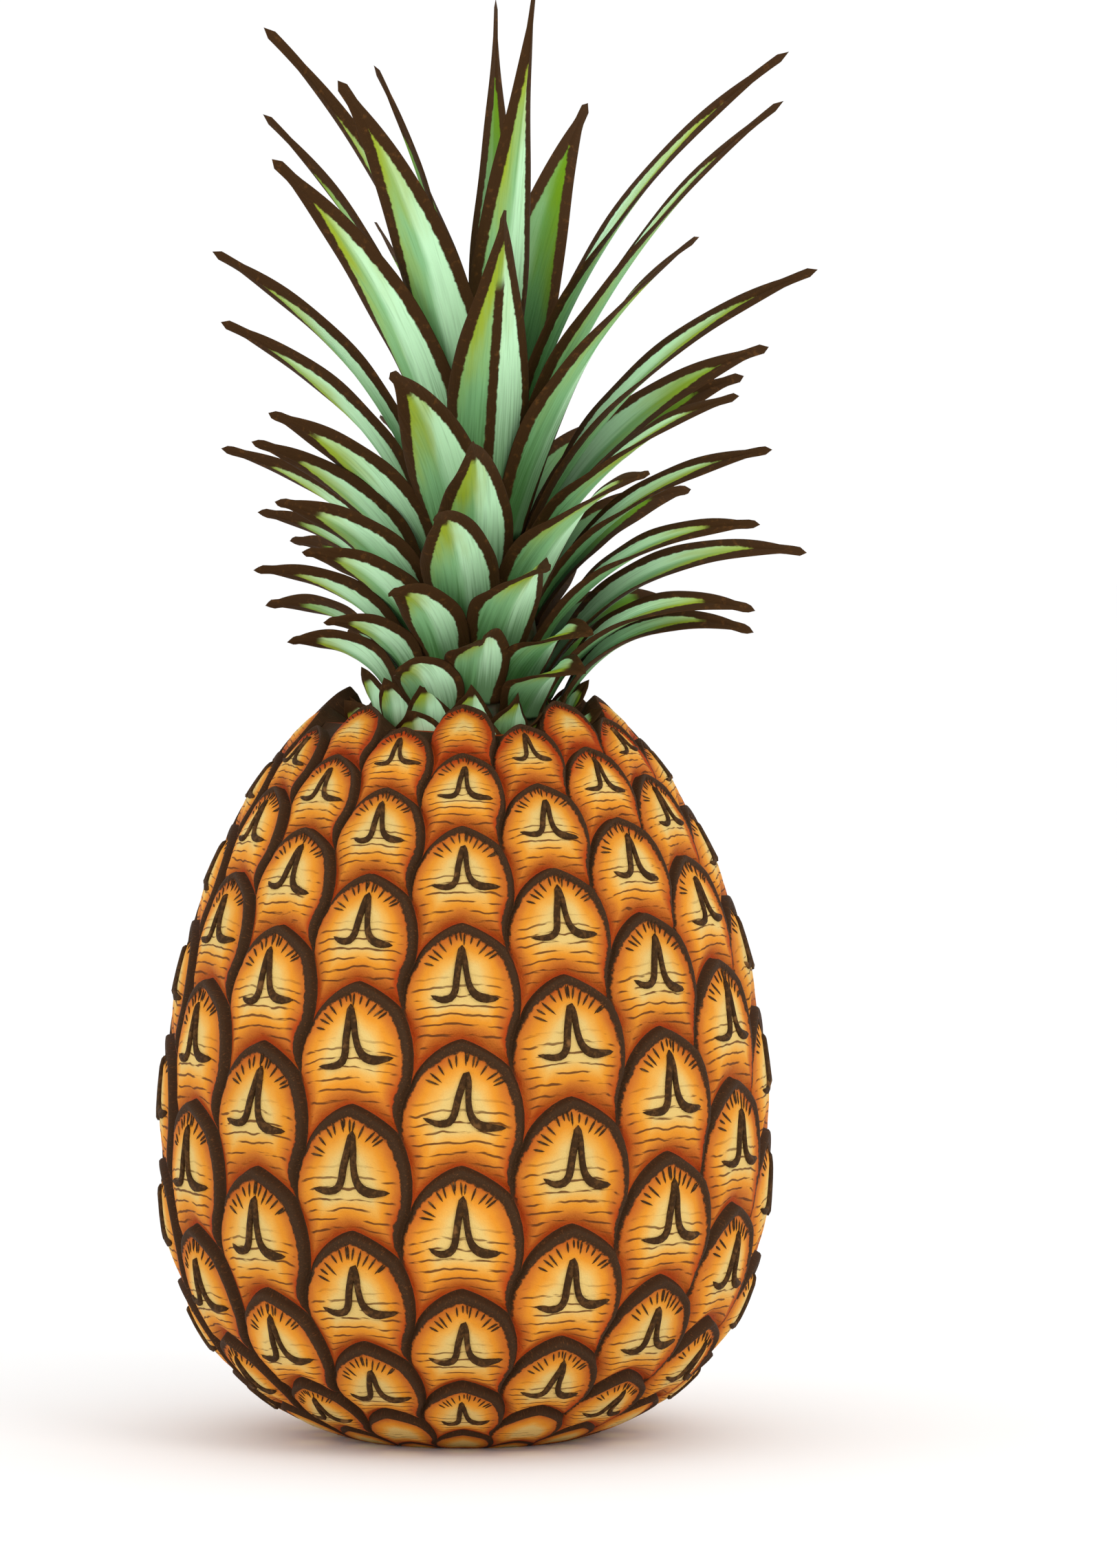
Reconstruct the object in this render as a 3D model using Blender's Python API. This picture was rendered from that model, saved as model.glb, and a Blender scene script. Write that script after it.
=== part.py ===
"""Pineapple: a whole fruit that stands on its flat base, with its leafy crown.

Metres, +Z up. The origin is the centre of the cut stalk, level with what the fruit stands on.
An azimuth of 0 degrees faces -Y, the front, and a positive azimuth turns towards +X.

The skin is one solid, tiled with eyes that follow the fruit's spirals. The crown is a short stem
that carries one solid for each leaf, and the stub of the cut stalk sits in the base.
"""

import math

import bmesh
import bpy
import numpy as np
from mathutils import Matrix, Vector

# Fruit: the curve that touches the crests of the eyes
FRUIT_RADIUS = 0.065            # at the widest level
WAIST_HEIGHT = 0.062            # height of the widest level
UPPER_REACH = 0.105             # from the waist up to where the shoulder would close
LOWER_REACH = 0.0645            # from the waist down to where the base would close
LOWER_SQUARENESS = 2.5          # 2 is an ellipse, and more is squarer
COLLAR_DROP = 0.0078            # the topmost eye rims are this far below the closed shoulder
COLLAR_TOP = WAIST_HEIGHT + UPPER_REACH - COLLAR_DROP

# Eyes
COLUMNS = 17                    # upright columns of eyes, crossed by 8 spirals and 9 spirals
RIGHT_SPIRALS = 9
LEFT_SPIRALS = 8
FRONT_EYE_HEIGHT = 0.1000       # centre of the eye that faces the front
ROW_STRETCH = 1.11              # height of a row over the width of a column
RELIEF = 0.0022                 # depth of the grooves between the eyes
EYE_TOP = 0.57                  # apex of an eye's arch, in rows above its centre
LEFT_CORNER = (-0.46, 0.20)     # where the arch meets its left neighbour, in columns and rows
RIGHT_CORNER = (0.45, 0.32)     # where it meets its right neighbour
ARCH_POINTS = (1.5, 1.25)       # left and right: 2 is round, and less is more pointed
ARCH_STEPS = 4                  # straight steps over the arch
RIM_SHARE = 0.84                # the rim's place between an eye's centre and its edge
RIM_LOW = 0.50                  # height of an eye's lower edge, as a share of the relief
EYE_SWELL = 0.86                # height of an eye's centre, as a share of the relief
BASE_FADE = 0.010               # the relief fades out below this height

# Cut stalk
STALK_RADIUS = 0.0110
STALK_DEPTH = 0.0060
STALK_SIDES = 24
STALK_CHAMFER = 0.0008
STALK_MARGIN = 0.0025           # smooth ring around the stalk, inside the smallest eyes
FIT_GAP = 0.0003                # clearance between pieces that touch

# Crown
SEAT_DEPTH = 0.0092             # depth of the crown's seat below the topmost rims
CROWN_SEAT = COLLAR_TOP - SEAT_DEPTH
CROWN_SHIFT = 0.0015            # the crown grows a little to the right of the fruit's axis
CROWN_LEAN = 3.2                # degrees, towards +X
COLLAR_WALL = 0.87              # plan scale of the collar's inner edge
STEM_RADIUS = 0.0170
STEM_TIP_RADIUS = 0.0016
STEM_HEIGHT = 0.0720
STEM_SIDES = 20
LEAF_THICKNESS = 0.0010
LEAF_OPENNESS = 0.62            # radius of the open channel, as a share of the leaf's width
LEAF_OPENS_AT = 0.55            # share of the length where the channel has that radius
LEAF_TWIST = 60.0               # degrees that a blade turns about its midrib, foot to tip
LEAF_TWIST_EASE = 1.5           # 1 turns evenly, and more turns mostly near the tip
LEAF_BASE_WIDTH = 0.56          # width at the foot, as a share of the widest
LEAF_WIDEST = 0.40              # share of the length where the leaf is widest
LEAF_TAPER = (1.5, 1.0)         # powers of the taper towards the tip
LEAF_STATIONS = (0.0, 0.16, 0.38, 0.62, 0.84)

# How a leaf changes from the outermost (rank 0) to the innermost (rank 1):
# rank, height of its foot above the seat, lean of its foot and of its tip in degrees, width
CROWN_RULE = (
    (0.00, 0.0014, 14.0, 110.0, 0.0205),
    (0.15, 0.0070, 23.0, 105.0, 0.0215),
    (0.30, 0.0135, 28.0, 96.0, 0.0220),
    (0.52, 0.0250, 27.0, 80.0, 0.0225),
    (0.70, 0.0350, 21.0, 72.0, 0.0255),
    (0.79, 0.0410, 16.0, 64.0, 0.0250),
    (0.87, 0.0475, 11.0, 52.0, 0.0225),
    (0.94, 0.0560, 7.0, 54.0, 0.0205),
    (1.00, 0.0650, 3.0, 10.0, 0.0180),
)

# Leaves from the outermost to the innermost: azimuth in degrees, length, width factor
LEAVES = (
    (-26, 0.026, 0.96), (88, 0.052, 0.85), (-140, 0.034, 0.79), (38, 0.026, 1.00),
    (-76, 0.030, 0.87), (137, 0.034, 0.85), (180, 0.034, 0.90), (2, 0.033, 0.89),
    (-112, 0.040, 0.85), (80, 0.052, 0.85), (-146, 0.040, 0.90), (-52, 0.030, 0.71),
    (37, 0.030, 0.96), (125, 0.042, 0.90), (-22, 0.041, 0.82), (100, 0.066, 0.85),
    (-72, 0.042, 0.72), (15, 0.050, 1.00), (-130, 0.048, 0.90), (155, 0.046, 1.00),
    (-51, 0.041, 0.85), (-9, 0.058, 1.00), (75, 0.057, 0.85), (-108, 0.046, 0.85),
    (-54, 0.050, 0.90), (180, 0.052, 1.00), (130, 0.056, 0.90), (34, 0.061, 1.00),
    (-99, 0.057, 0.77), (-3, 0.063, 1.00), (80, 0.063, 0.80), (-70, 0.053, 0.76),
    (-155, 0.060, 1.00), (150, 0.062, 1.00), (-60, 0.056, 0.81), (58, 0.068, 0.85),
    (-20, 0.067, 0.93), (117, 0.069, 0.85), (-128, 0.064, 0.76), (110, 0.074, 0.80),
    (-90, 0.069, 0.75), (180, 0.070, 1.00), (84, 0.088, 0.75), (-96, 0.080, 0.75),
    (40, 0.088, 0.70), (1, 0.088, 1.00), (-150, 0.080, 0.90), (-55, 0.090, 0.90),
    (62, 0.108, 0.85), (-112, 0.095, 0.80), (-37, 0.100, 1.00), (162, 0.098, 1.00),
    (76, 0.109, 0.88), (-82, 0.102, 0.70), (-125, 0.086, 0.90), (10, 0.097, 1.00),
    (-165, 0.090, 1.00),
)


def smooth_step(value):
    """Ease from 0 to 1 as value goes from 0 to 1."""
    value = min(max(value, 0.0), 1.0)
    return value * value * (3.0 - 2.0 * value)


# ------------------------------------------------------------------ the fruit's profile and rows

PITCH = 2.0 * math.pi / COLUMNS             # azimuth from one column to the next
TURN = 4.0 * math.pi / COLUMNS              # azimuth from one eye to the next along the main spiral
PROFILE_STEPS = 400
SLOPE_STEP = 0.02                           # rows on either side, to read the profile's slope


def crest_radius(height):
    """Radius of the curve that touches the crests of the eyes."""
    if height >= WAIST_HEIGHT:
        share = min((height - WAIST_HEIGHT) / UPPER_REACH, 1.0)
        return FRUIT_RADIUS * math.sqrt(1.0 - share * share)
    share = (WAIST_HEIGHT - height) / LOWER_REACH
    return FRUIT_RADIUS * (1.0 - share ** LOWER_SQUARENESS) ** (1.0 / LOWER_SQUARENESS)


def profile_table():
    """Points of the crest curve from the stalk outwards and up, and the row number at each."""
    inner = STALK_RADIUS * 0.5
    edge = crest_radius(0.0)
    flat = [(inner + (edge - inner) * i / PROFILE_STEPS, 0.0) for i in range(PROFILE_STEPS)]
    side = []
    for i in range(PROFILE_STEPS + 1):
        height = COLLAR_TOP * i / PROFILE_STEPS
        side.append((crest_radius(height), height))
    points = np.array(flat + side)
    steps = np.hypot(*np.diff(points, axis=0).T)
    middle = (points[1:] + points[:-1]) / 2.0
    rows = np.concatenate([[0.0], np.cumsum(steps / (middle[:, 0] * PITCH * ROW_STRETCH))])
    front = np.interp(FRONT_EYE_HEIGHT, points[PROFILE_STEPS:, 1], rows[PROFILE_STEPS:])
    return points, rows - front


PROFILE, PROFILE_ROWS = profile_table()


def skin_point(azimuth, row, lift):
    """A point of the skin: lift is 0 in the grooves and 1 on the crests."""
    radius = np.interp(row, PROFILE_ROWS, PROFILE[:, 0])
    height = np.interp(row, PROFILE_ROWS, PROFILE[:, 1])
    around = (row - SLOPE_STEP, row + SLOPE_STEP)
    radii = np.interp(around, PROFILE_ROWS, PROFILE[:, 0])
    heights = np.interp(around, PROFILE_ROWS, PROFILE[:, 1])
    slope = math.atan2(radii[0] - radii[1], heights[1] - heights[0])
    depth = RELIEF * (1.0 - lift) * smooth_step(height / BASE_FADE)
    radius -= depth * math.cos(slope)
    height -= depth * math.sin(slope)
    height = max(height, 0.0)
    return Vector((radius * math.sin(azimuth), -radius * math.cos(azimuth), height))


# ---------------------------------------------------------------------------------- the skin

def eye_place(number, across, up):
    """Azimuth and row of a point given in columns and rows from the centre of an eye."""
    return number * TURN + across * PITCH, number / COLUMNS + up


def arch_outline(share):
    """The arch of an eye from its left corner (share 0) over the apex to its right corner."""
    left = share < 0.5
    side, corner = (-1.0, LEFT_CORNER) if left else (1.0, RIGHT_CORNER)
    angle = math.pi * min(share, 1.0 - share)
    power = 2.0 / ARCH_POINTS[0 if left else 1]
    across = side * abs(corner[0]) * max(math.cos(angle), 0.0) ** power
    up = corner[1] + (EYE_TOP - corner[1]) * math.sin(angle) ** power
    return across, up


class Skin:
    """Builds the skin's mesh, and keeps the points that neighbouring eyes share."""

    def __init__(self):
        self.mesh = bmesh.new()
        self.shared = {}

    def vertex(self, key, number, across, up):
        if key not in self.shared:
            azimuth, row = eye_place(number, across, up)
            self.shared[key] = self.mesh.verts.new(skin_point(azimuth, row, 0.0))
        return self.shared[key]

    def arch(self, number):
        """Shared points over the arch of an eye, left to right."""
        points = []
        for step in range(ARCH_STEPS + 1):
            across, up = arch_outline(step / ARCH_STEPS)
            points.append(self.vertex((number, step), number, across, up))
        return points

    def edge_loop(self, number):
        """The whole edge of an eye: its own arch, then the arches of the three eyes below it."""
        own = self.arch(number)
        below = self.arch(number - COLUMNS)
        left_foot = self.arch(number - RIGHT_SPIRALS)[-1]
        right_foot = self.arch(number - LEFT_SPIRALS)[0]
        return [left_foot] + own + [right_foot] + below[::-1]

    def add_eye(self, number):
        """One eye: a ring for its rim and a point for its middle, inside its edge."""
        edge = self.edge_loop(number)
        places = [(0.0, 0.0)] * len(edge)
        below = [arch_outline(step / ARCH_STEPS) for step in range(ARCH_STEPS, -1, -1)]
        places[0] = (RIGHT_CORNER[0] - 1.0, RIGHT_CORNER[1] - RIGHT_SPIRALS / COLUMNS)
        for step in range(ARCH_STEPS + 1):
            places[1 + step] = arch_outline(step / ARCH_STEPS)
            places[3 + ARCH_STEPS + step] = (below[step][0], below[step][1] - 1.0)
        places[2 + ARCH_STEPS] = (LEFT_CORNER[0] + 1.0, LEFT_CORNER[1] - LEFT_SPIRALS / COLUMNS)
        rim = []
        for across, up in places:
            lift = RIM_LOW + (1.0 - RIM_LOW) * smooth_step(EYE_TOP + up)
            azimuth, row = eye_place(number, across * RIM_SHARE, up * RIM_SHARE)
            rim.append(self.mesh.verts.new(skin_point(azimuth, row, lift)))
        azimuth, row = eye_place(number, 0.0, 0.0)
        middle = self.mesh.verts.new(skin_point(azimuth, row, EYE_SWELL))
        for i, vertex in enumerate(edge):
            after = (i + 1) % len(edge)
            self.mesh.faces.new((vertex, rim[i], rim[after], edge[after]))
            self.mesh.faces.new((rim[i], middle, rim[after]))


def row_at_base_radius(radius):
    """Row where the flat base has the given radius."""
    return float(np.interp(radius, PROFILE[:PROFILE_STEPS, 0], PROFILE_ROWS[:PROFILE_STEPS]))


def crown_matrix():
    """Place of the crown: its origin is on the seat, and its axis leans towards +X."""
    lean = Matrix.Rotation(math.radians(CROWN_LEAN), 4, 'Y')
    return Matrix.Translation((CROWN_SHIFT, 0.0, CROWN_SEAT)) @ lean


def fill_seat(mesh, edges):
    """Turn the ragged upper edge down into the seat that carries the crown."""
    crown = crown_matrix()
    to_crown = crown.inverted()
    made = bmesh.ops.extrude_edge_only(mesh, edges=edges)['geom']
    for vertex in [item for item in made if isinstance(item, bmesh.types.BMVert)]:
        inside = to_crown @ vertex.co
        vertex.co = crown @ Vector((inside.x * COLLAR_WALL, inside.y * COLLAR_WALL, 0.0))
    rim = [item for item in made if isinstance(item, bmesh.types.BMEdge)]
    up = crown.to_3x3() @ Vector((0.0, 0.0, 1.0))
    bmesh.ops.triangle_fill(mesh, edges=rim, normal=up, use_beauty=True)


def fill_base(mesh, edges):
    """Close the flat base around the recess that holds the stalk."""
    radius = STALK_RADIUS + FIT_GAP
    ring = []
    for i in range(STALK_SIDES):
        angle = 2.0 * math.pi * i / STALK_SIDES
        ring.append(mesh.verts.new((radius * math.cos(angle), radius * math.sin(angle), 0.0)))
    hole = [mesh.edges.new((ring[i], ring[(i + 1) % STALK_SIDES])) for i in range(STALK_SIDES)]
    bmesh.ops.triangle_fill(mesh, edges=edges + hole, normal=(0.0, 0.0, -1.0), use_beauty=True)
    made = bmesh.ops.extrude_edge_only(mesh, edges=hole)['geom']
    raised = [item for item in made if isinstance(item, bmesh.types.BMVert)]
    bmesh.ops.translate(mesh, verts=raised, vec=(0.0, 0.0, STALK_DEPTH))
    inner = [item for item in made if isinstance(item, bmesh.types.BMEdge)]
    bmesh.ops.contextual_create(mesh, geom=inner)


def make_fruit():
    """The fruit: one solid, from the stalk's recess to the seat of the crown."""
    lowest = row_at_base_radius(STALK_RADIUS + STALK_MARGIN) + 1.0 - LEFT_CORNER[1]
    first = math.ceil(lowest * COLUMNS)
    last = math.floor((PROFILE_ROWS[-1] - EYE_TOP) * COLUMNS)
    skin = Skin()
    for number in range(first, last + 1):
        skin.add_eye(number)
    mesh = skin.mesh
    loose = [vertex for vertex in mesh.verts if not vertex.link_faces]
    bmesh.ops.delete(mesh, geom=loose, context='VERTS')
    rims = [edge for edge in mesh.edges if edge.is_boundary]
    upper = [edge for edge in rims if edge.verts[0].co.z > WAIST_HEIGHT]
    lower = [edge for edge in rims if edge.verts[0].co.z < WAIST_HEIGHT]
    fill_seat(mesh, upper)
    fill_base(mesh, lower)
    bmesh.ops.recalc_face_normals(mesh, faces=mesh.faces)
    bmesh.ops.triangulate(mesh, faces=mesh.faces)
    return add_object('fruit', mesh, SKIN_LOOK)


# ------------------------------------------------------------------------------- the crown

def crown_value(column, rank):
    """A value of the crown's rule at a rank from 0, outermost, to 1, innermost."""
    ranks = [row[0] for row in CROWN_RULE]
    return float(np.interp(rank, ranks, [row[column] for row in CROWN_RULE]))


def stem_radius(height):
    """Radius of the crown's stem at a height above the seat."""
    return STEM_RADIUS + (STEM_TIP_RADIUS - STEM_RADIUS) * height / STEM_HEIGHT


def leaf_spine(rank, length, share):
    """Distance from the crown's axis, height above the seat and lean, along a leaf's midrib."""
    foot = crown_value(1, rank)
    start = math.radians(crown_value(2, rank))
    bend = math.radians(crown_value(3, rank)) - start
    lean = start + bend * share
    out = stem_radius(foot) + FIT_GAP + LEAF_THICKNESS / 2.0
    out += length * (math.cos(start) - math.cos(lean)) / bend
    height = foot + length * (math.sin(lean) - math.sin(start)) / bend
    return out, height, lean


def leaf_width(share):
    """Width of a leaf along its length, as a share of its widest."""
    foot = LEAF_BASE_WIDTH + (1.0 - LEAF_BASE_WIDTH) * smooth_step(share / LEAF_WIDEST)
    return foot * (1.0 - share ** LEAF_TAPER[0]) ** LEAF_TAPER[1]


def leaf_point(rank, azimuth, length, width, share, across, side):
    """A point on a leaf: across runs from -1 to 1, and side is 1 outside and -1 inside."""
    out, height, lean = leaf_spine(rank, length, share)
    near = leaf_spine(rank, length, 0.0)[0]
    opened = smooth_step(share / LEAF_OPENS_AT)
    channel = near + (LEAF_OPENNESS * width - near) * opened
    angle = across * width * leaf_width(share) / 2.0 / channel
    inward = channel * (1.0 - math.cos(angle))
    inward -= side * LEAF_THICKNESS / 2.0 * (1.0 - across * across)
    along = channel * math.sin(angle)
    twist = math.radians(LEAF_TWIST) * share ** LEAF_TWIST_EASE
    inward, along = (inward * math.cos(twist) + along * math.sin(twist),
                     along * math.cos(twist) - inward * math.sin(twist))
    out -= inward * math.cos(lean)
    height += inward * math.sin(lean)
    x = out * math.sin(azimuth) + along * math.cos(azimuth)
    y = -out * math.cos(azimuth) + along * math.sin(azimuth)
    return Vector((x, y, height))


def make_leaf(name, rank, azimuth, length, width, crown):
    """One leaf: a thin channelled blade that tapers to a point."""
    mesh = bmesh.new()
    rings = []
    section = [(-1.0, 1), (-0.5, 1), (0.0, 1), (0.5, 1), (1.0, 1), (0.5, -1), (0.0, -1), (-0.5, -1)]
    for share in LEAF_STATIONS:
        places = [leaf_point(rank, azimuth, length, width, share, a, s) for a, s in section]
        rings.append([mesh.verts.new(place) for place in places])
    tip = mesh.verts.new(leaf_point(rank, azimuth, length, width, 1.0, 0.0, 0))
    for lower, upper in zip(rings, rings[1:]):
        for i in range(len(section)):
            after = (i + 1) % len(section)
            mesh.faces.new((lower[i], lower[after], upper[after], upper[i]))
    for i in range(len(section)):
        mesh.faces.new((rings[-1][i], rings[-1][(i + 1) % len(section)], tip))
    mesh.faces.new(rings[0][::-1])
    bmesh.ops.recalc_face_normals(mesh, faces=mesh.faces)
    bmesh.ops.triangulate(mesh, faces=mesh.faces)
    leaf = add_object(name, mesh, LEAF_LOOK)
    leaf.parent = crown
    return leaf


def make_crown():
    """The stem of the crown and all its leaves, parented to one empty that leans."""
    crown = bpy.data.objects.new('crown_axis', None)
    crown.matrix_world = crown_matrix()
    bpy.context.scene.collection.objects.link(crown)

    mesh = bmesh.new()
    bmesh.ops.create_cone(mesh, cap_ends=True, segments=STEM_SIDES, radius1=STEM_RADIUS,
                          radius2=STEM_TIP_RADIUS, depth=STEM_HEIGHT - FIT_GAP)
    bmesh.ops.translate(mesh, verts=mesh.verts, vec=(0.0, 0.0, (STEM_HEIGHT + FIT_GAP) / 2.0))
    stem = add_object('crown_stem', mesh, STEM_LOOK)
    stem.parent = crown

    for index, (azimuth, length, factor) in enumerate(LEAVES):
        rank = index / (len(LEAVES) - 1)
        width = crown_value(4, rank) * factor
        make_leaf('leaf_%02d' % (index + 1), rank, math.radians(azimuth), length, width, crown)


# ------------------------------------------------------------------------ stalk and materials

def make_stalk():
    """Stub of the cut stalk, in its recess, with its cut face level with the base."""
    mesh = bmesh.new()
    depth = STALK_DEPTH - FIT_GAP
    bmesh.ops.create_cone(mesh, cap_ends=True, segments=STALK_SIDES, radius1=STALK_RADIUS,
                          radius2=STALK_RADIUS, depth=depth)
    bmesh.ops.translate(mesh, verts=mesh.verts, vec=(0.0, 0.0, depth / 2.0))
    rims = [edge for edge in mesh.edges if abs(edge.verts[0].co.z - edge.verts[1].co.z) < FIT_GAP]
    bmesh.ops.bevel(mesh, geom=rims, offset=STALK_CHAMFER, segments=1, affect='EDGES')
    return add_object('stalk_stub', mesh, STALK_LOOK)


def make_look(name, colour, roughness):
    """A plain Principled material."""
    look = bpy.data.materials.new(name)
    look.use_nodes = True
    shader = look.node_tree.nodes['Principled BSDF']
    shader.inputs['Base Color'].default_value = (*colour, 1.0)
    shader.inputs['Roughness'].default_value = roughness
    shader.inputs['Metallic'].default_value = 0.0
    look.diffuse_color = (*colour, 1.0)
    return look


def add_object(name, mesh, look):
    """Turn a bmesh into a named object with its material."""
    data = bpy.data.meshes.new(name)
    mesh.to_mesh(data)
    mesh.free()
    data.materials.append(look)
    item = bpy.data.objects.new(name, data)
    bpy.context.scene.collection.objects.link(item)
    return item


for old in list(bpy.data.objects):
    bpy.data.objects.remove(old, do_unlink=True)

SKIN_LOOK = make_look('pineapple_skin', (0.68, 0.33, 0.07), 0.60)
LEAF_LOOK = make_look('crown_leaf', (0.23, 0.48, 0.22), 0.50)
STEM_LOOK = make_look('crown_stem', (0.12, 0.20, 0.06), 0.70)
STALK_LOOK = make_look('cut_stalk', (0.55, 0.42, 0.22), 0.80)

make_fruit()
make_crown()
make_stalk()
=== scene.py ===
import math
import random

import bmesh
import bpy
import numpy as np
from mathutils import Matrix, Vector


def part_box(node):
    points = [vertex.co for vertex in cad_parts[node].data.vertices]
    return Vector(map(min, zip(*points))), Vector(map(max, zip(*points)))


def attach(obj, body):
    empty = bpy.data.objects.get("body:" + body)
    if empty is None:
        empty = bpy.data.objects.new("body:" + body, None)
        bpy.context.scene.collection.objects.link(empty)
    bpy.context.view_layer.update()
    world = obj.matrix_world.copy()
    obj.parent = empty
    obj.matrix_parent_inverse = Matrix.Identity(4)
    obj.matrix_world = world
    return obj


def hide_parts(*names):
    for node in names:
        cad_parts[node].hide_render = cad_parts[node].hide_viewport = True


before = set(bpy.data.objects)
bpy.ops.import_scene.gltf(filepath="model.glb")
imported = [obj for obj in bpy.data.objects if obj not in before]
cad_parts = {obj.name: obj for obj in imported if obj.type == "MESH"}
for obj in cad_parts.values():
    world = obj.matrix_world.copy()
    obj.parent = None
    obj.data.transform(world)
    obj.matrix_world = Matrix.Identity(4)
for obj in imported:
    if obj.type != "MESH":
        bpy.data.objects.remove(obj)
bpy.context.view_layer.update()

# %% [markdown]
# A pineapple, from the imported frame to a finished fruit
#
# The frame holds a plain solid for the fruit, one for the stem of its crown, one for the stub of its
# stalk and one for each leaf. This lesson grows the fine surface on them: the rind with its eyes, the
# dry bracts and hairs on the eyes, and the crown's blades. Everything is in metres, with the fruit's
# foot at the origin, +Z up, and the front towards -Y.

MM = 0.001
print("frame:", len(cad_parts), "nodes")


def smooth_step(value):
    """Ease from 0 to 1 as value goes from 0 to 1; value may be an array."""
    value = np.clip(value, 0.0, 1.0)
    return value * value * (3.0 - 2.0 * value)


def between(value, low, high):
    """Ease from 0 to 1 as value goes from low to high."""
    return smooth_step((np.asarray(value, float) - low) / (high - low))


# %% [markdown]
# Writing node trees as sums
#
# Both the shaders and the shapes below are node trees full of arithmetic. Adding and linking each Math
# node by hand would bury the idea, so a small class wraps a socket and lets it be added, multiplied and
# eased like a number. The same class serves shader trees and Geometry Nodes, because both use the same
# Math node.

# %% A socket that arithmetic works on


class Field:
    """A socket of a node tree. Each operation adds one Math node."""

    def __init__(self, tree, socket):
        self.tree = tree
        self.socket = socket

    def math(self, operation, *others):
        node = self.tree.nodes.new("ShaderNodeMath")
        node.operation = operation
        for socket, value in zip(node.inputs, (self, *others)):
            plug(self.tree, value, socket)
        return Field(self.tree, node.outputs[0])

    def __add__(self, other):
        return self.math("ADD", other)

    def __sub__(self, other):
        return self.math("SUBTRACT", other)

    def __mul__(self, other):
        return self.math("MULTIPLY", other)

    def __truediv__(self, other):
        return self.math("DIVIDE", other)

    def __pow__(self, other):
        return self.math("POWER", other)

    def ease(self, low, high, start=0.0, end=1.0):
        """Ease from start to end as the field goes from low to high."""
        node = self.tree.nodes.new("ShaderNodeMapRange")
        node.interpolation_type = "SMOOTHSTEP"
        for socket, value in zip(node.inputs, (self, low, high, start, end)):
            plug(self.tree, value, socket)
        return Field(self.tree, node.outputs[0])


def plug(tree, value, socket):
    """Link a field or a socket, or set a plain value."""
    if isinstance(value, Field):
        value = value.socket
    if isinstance(value, bpy.types.NodeSocket):
        tree.links.new(value, socket)
    else:
        socket.default_value = value


def paint(code):
    """Linear colour from a painter's six-figure colour code."""
    parts = [int(code[i:i + 2], 16) / 255.0 for i in (0, 2, 4)]
    return tuple(p / 12.92 if p <= 0.04045 else ((p + 0.055) / 1.055) ** 2.4 for p in parts) + (1.0,)


print("half grey is %.3f in linear light" % paint("808080")[0])


# %% [markdown]
# Studio
#
# The fruit stands on a pale floor under a bright even sky, lit by three large soft lamps, so that its
# colours read as they are. The camera looks from the front and slightly above through a long lens, and
# stands a little to the right of the fruit, which leaves space on that side.

# %% Camera, lamps and floor
CAMERA_DISTANCE = 1.90
CAMERA_RISE = math.radians(3.0)
FRAME_HEIGHT = 0.3320            # height of the picture where the fruit stands
FRAME_SHIFT = 0.0198             # the fruit stands left of the picture's middle
LOOK_HEIGHT = 0.1382             # height at the middle of the picture
SENSOR = 36.0
LAMP_TARGET = (0.0, 0.0, 0.16)
FLOOR_REACH = 6.0
FLOOR_COLOUR = (0.985, 0.985, 0.985, 1.0)
SKY_STRENGTH = 1.03
scene = bpy.context.scene
scene.view_settings.view_transform = "Standard"


def aim(item, place, target):
    """Put a lamp or camera at a place and turn it towards a target."""
    item.location = place
    item.rotation_euler = (Vector(target) - Vector(place)).to_track_quat("-Z", "Y").to_euler()


def add_camera():
    data = bpy.data.cameras.new("studio_camera")
    camera = bpy.data.objects.new("studio_camera", data)
    scene.collection.objects.link(camera)
    data.sensor_fit = "VERTICAL"
    data.sensor_height = SENSOR
    data.lens = SENSOR * CAMERA_DISTANCE / FRAME_HEIGHT
    target = (FRAME_SHIFT, 0.0, LOOK_HEIGHT)
    back = CAMERA_DISTANCE * math.cos(CAMERA_RISE)
    up = CAMERA_DISTANCE * math.sin(CAMERA_RISE)
    aim(camera, (FRAME_SHIFT, -back, LOOK_HEIGHT + up), target)
    scene.camera = camera
    return camera


def add_lamp(name, place, size, power, colour):
    data = bpy.data.lights.new(name, "AREA")
    data.size = size
    data.energy = power
    data.color = colour
    lamp = bpy.data.objects.new(name, data)
    scene.collection.objects.link(lamp)
    aim(lamp, place, LAMP_TARGET)


def add_stage():
    mesh = bpy.data.meshes.new("floor")
    square = ((-1, -1), (1, -1), (1, 1), (-1, 1))
    corners = [(x * FLOOR_REACH, y * FLOOR_REACH, 0.0) for x, y in square]
    mesh.from_pydata(corners, [], [(0, 1, 2, 3)])
    floor = bpy.data.objects.new("floor", mesh)
    scene.collection.objects.link(floor)
    look = bpy.data.materials.new("pale_floor")
    look.use_nodes = True
    shader = look.node_tree.nodes["Principled BSDF"]
    shader.inputs["Base Color"].default_value = FLOOR_COLOUR
    shader.inputs["Roughness"].default_value = 0.9
    mesh.materials.append(look)
    world = bpy.data.worlds.new("studio_sky")
    world.use_nodes = True
    sky = world.node_tree.nodes["Background"]
    sky.inputs["Color"].default_value = (1.0, 1.0, 1.0, 1.0)
    sky.inputs["Strength"].default_value = SKY_STRENGTH
    scene.world = world


camera = add_camera()
add_stage()
add_lamp("key_lamp", (0.80, -1.00, 1.10), 0.7, 4.5, (1.0, 0.97, 0.93))
add_lamp("side_lamp", (-1.3, -0.5, 0.7), 0.9, 2.0, (0.96, 0.98, 1.0))
add_lamp("front_lamp", (0.1, -1.7, 0.30), 1.2, 3.0, (1.0, 1.0, 1.0))
print("lens %.0f mm, camera at" % camera.data.lens, tuple(round(v, 3) for v in camera.location))

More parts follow.
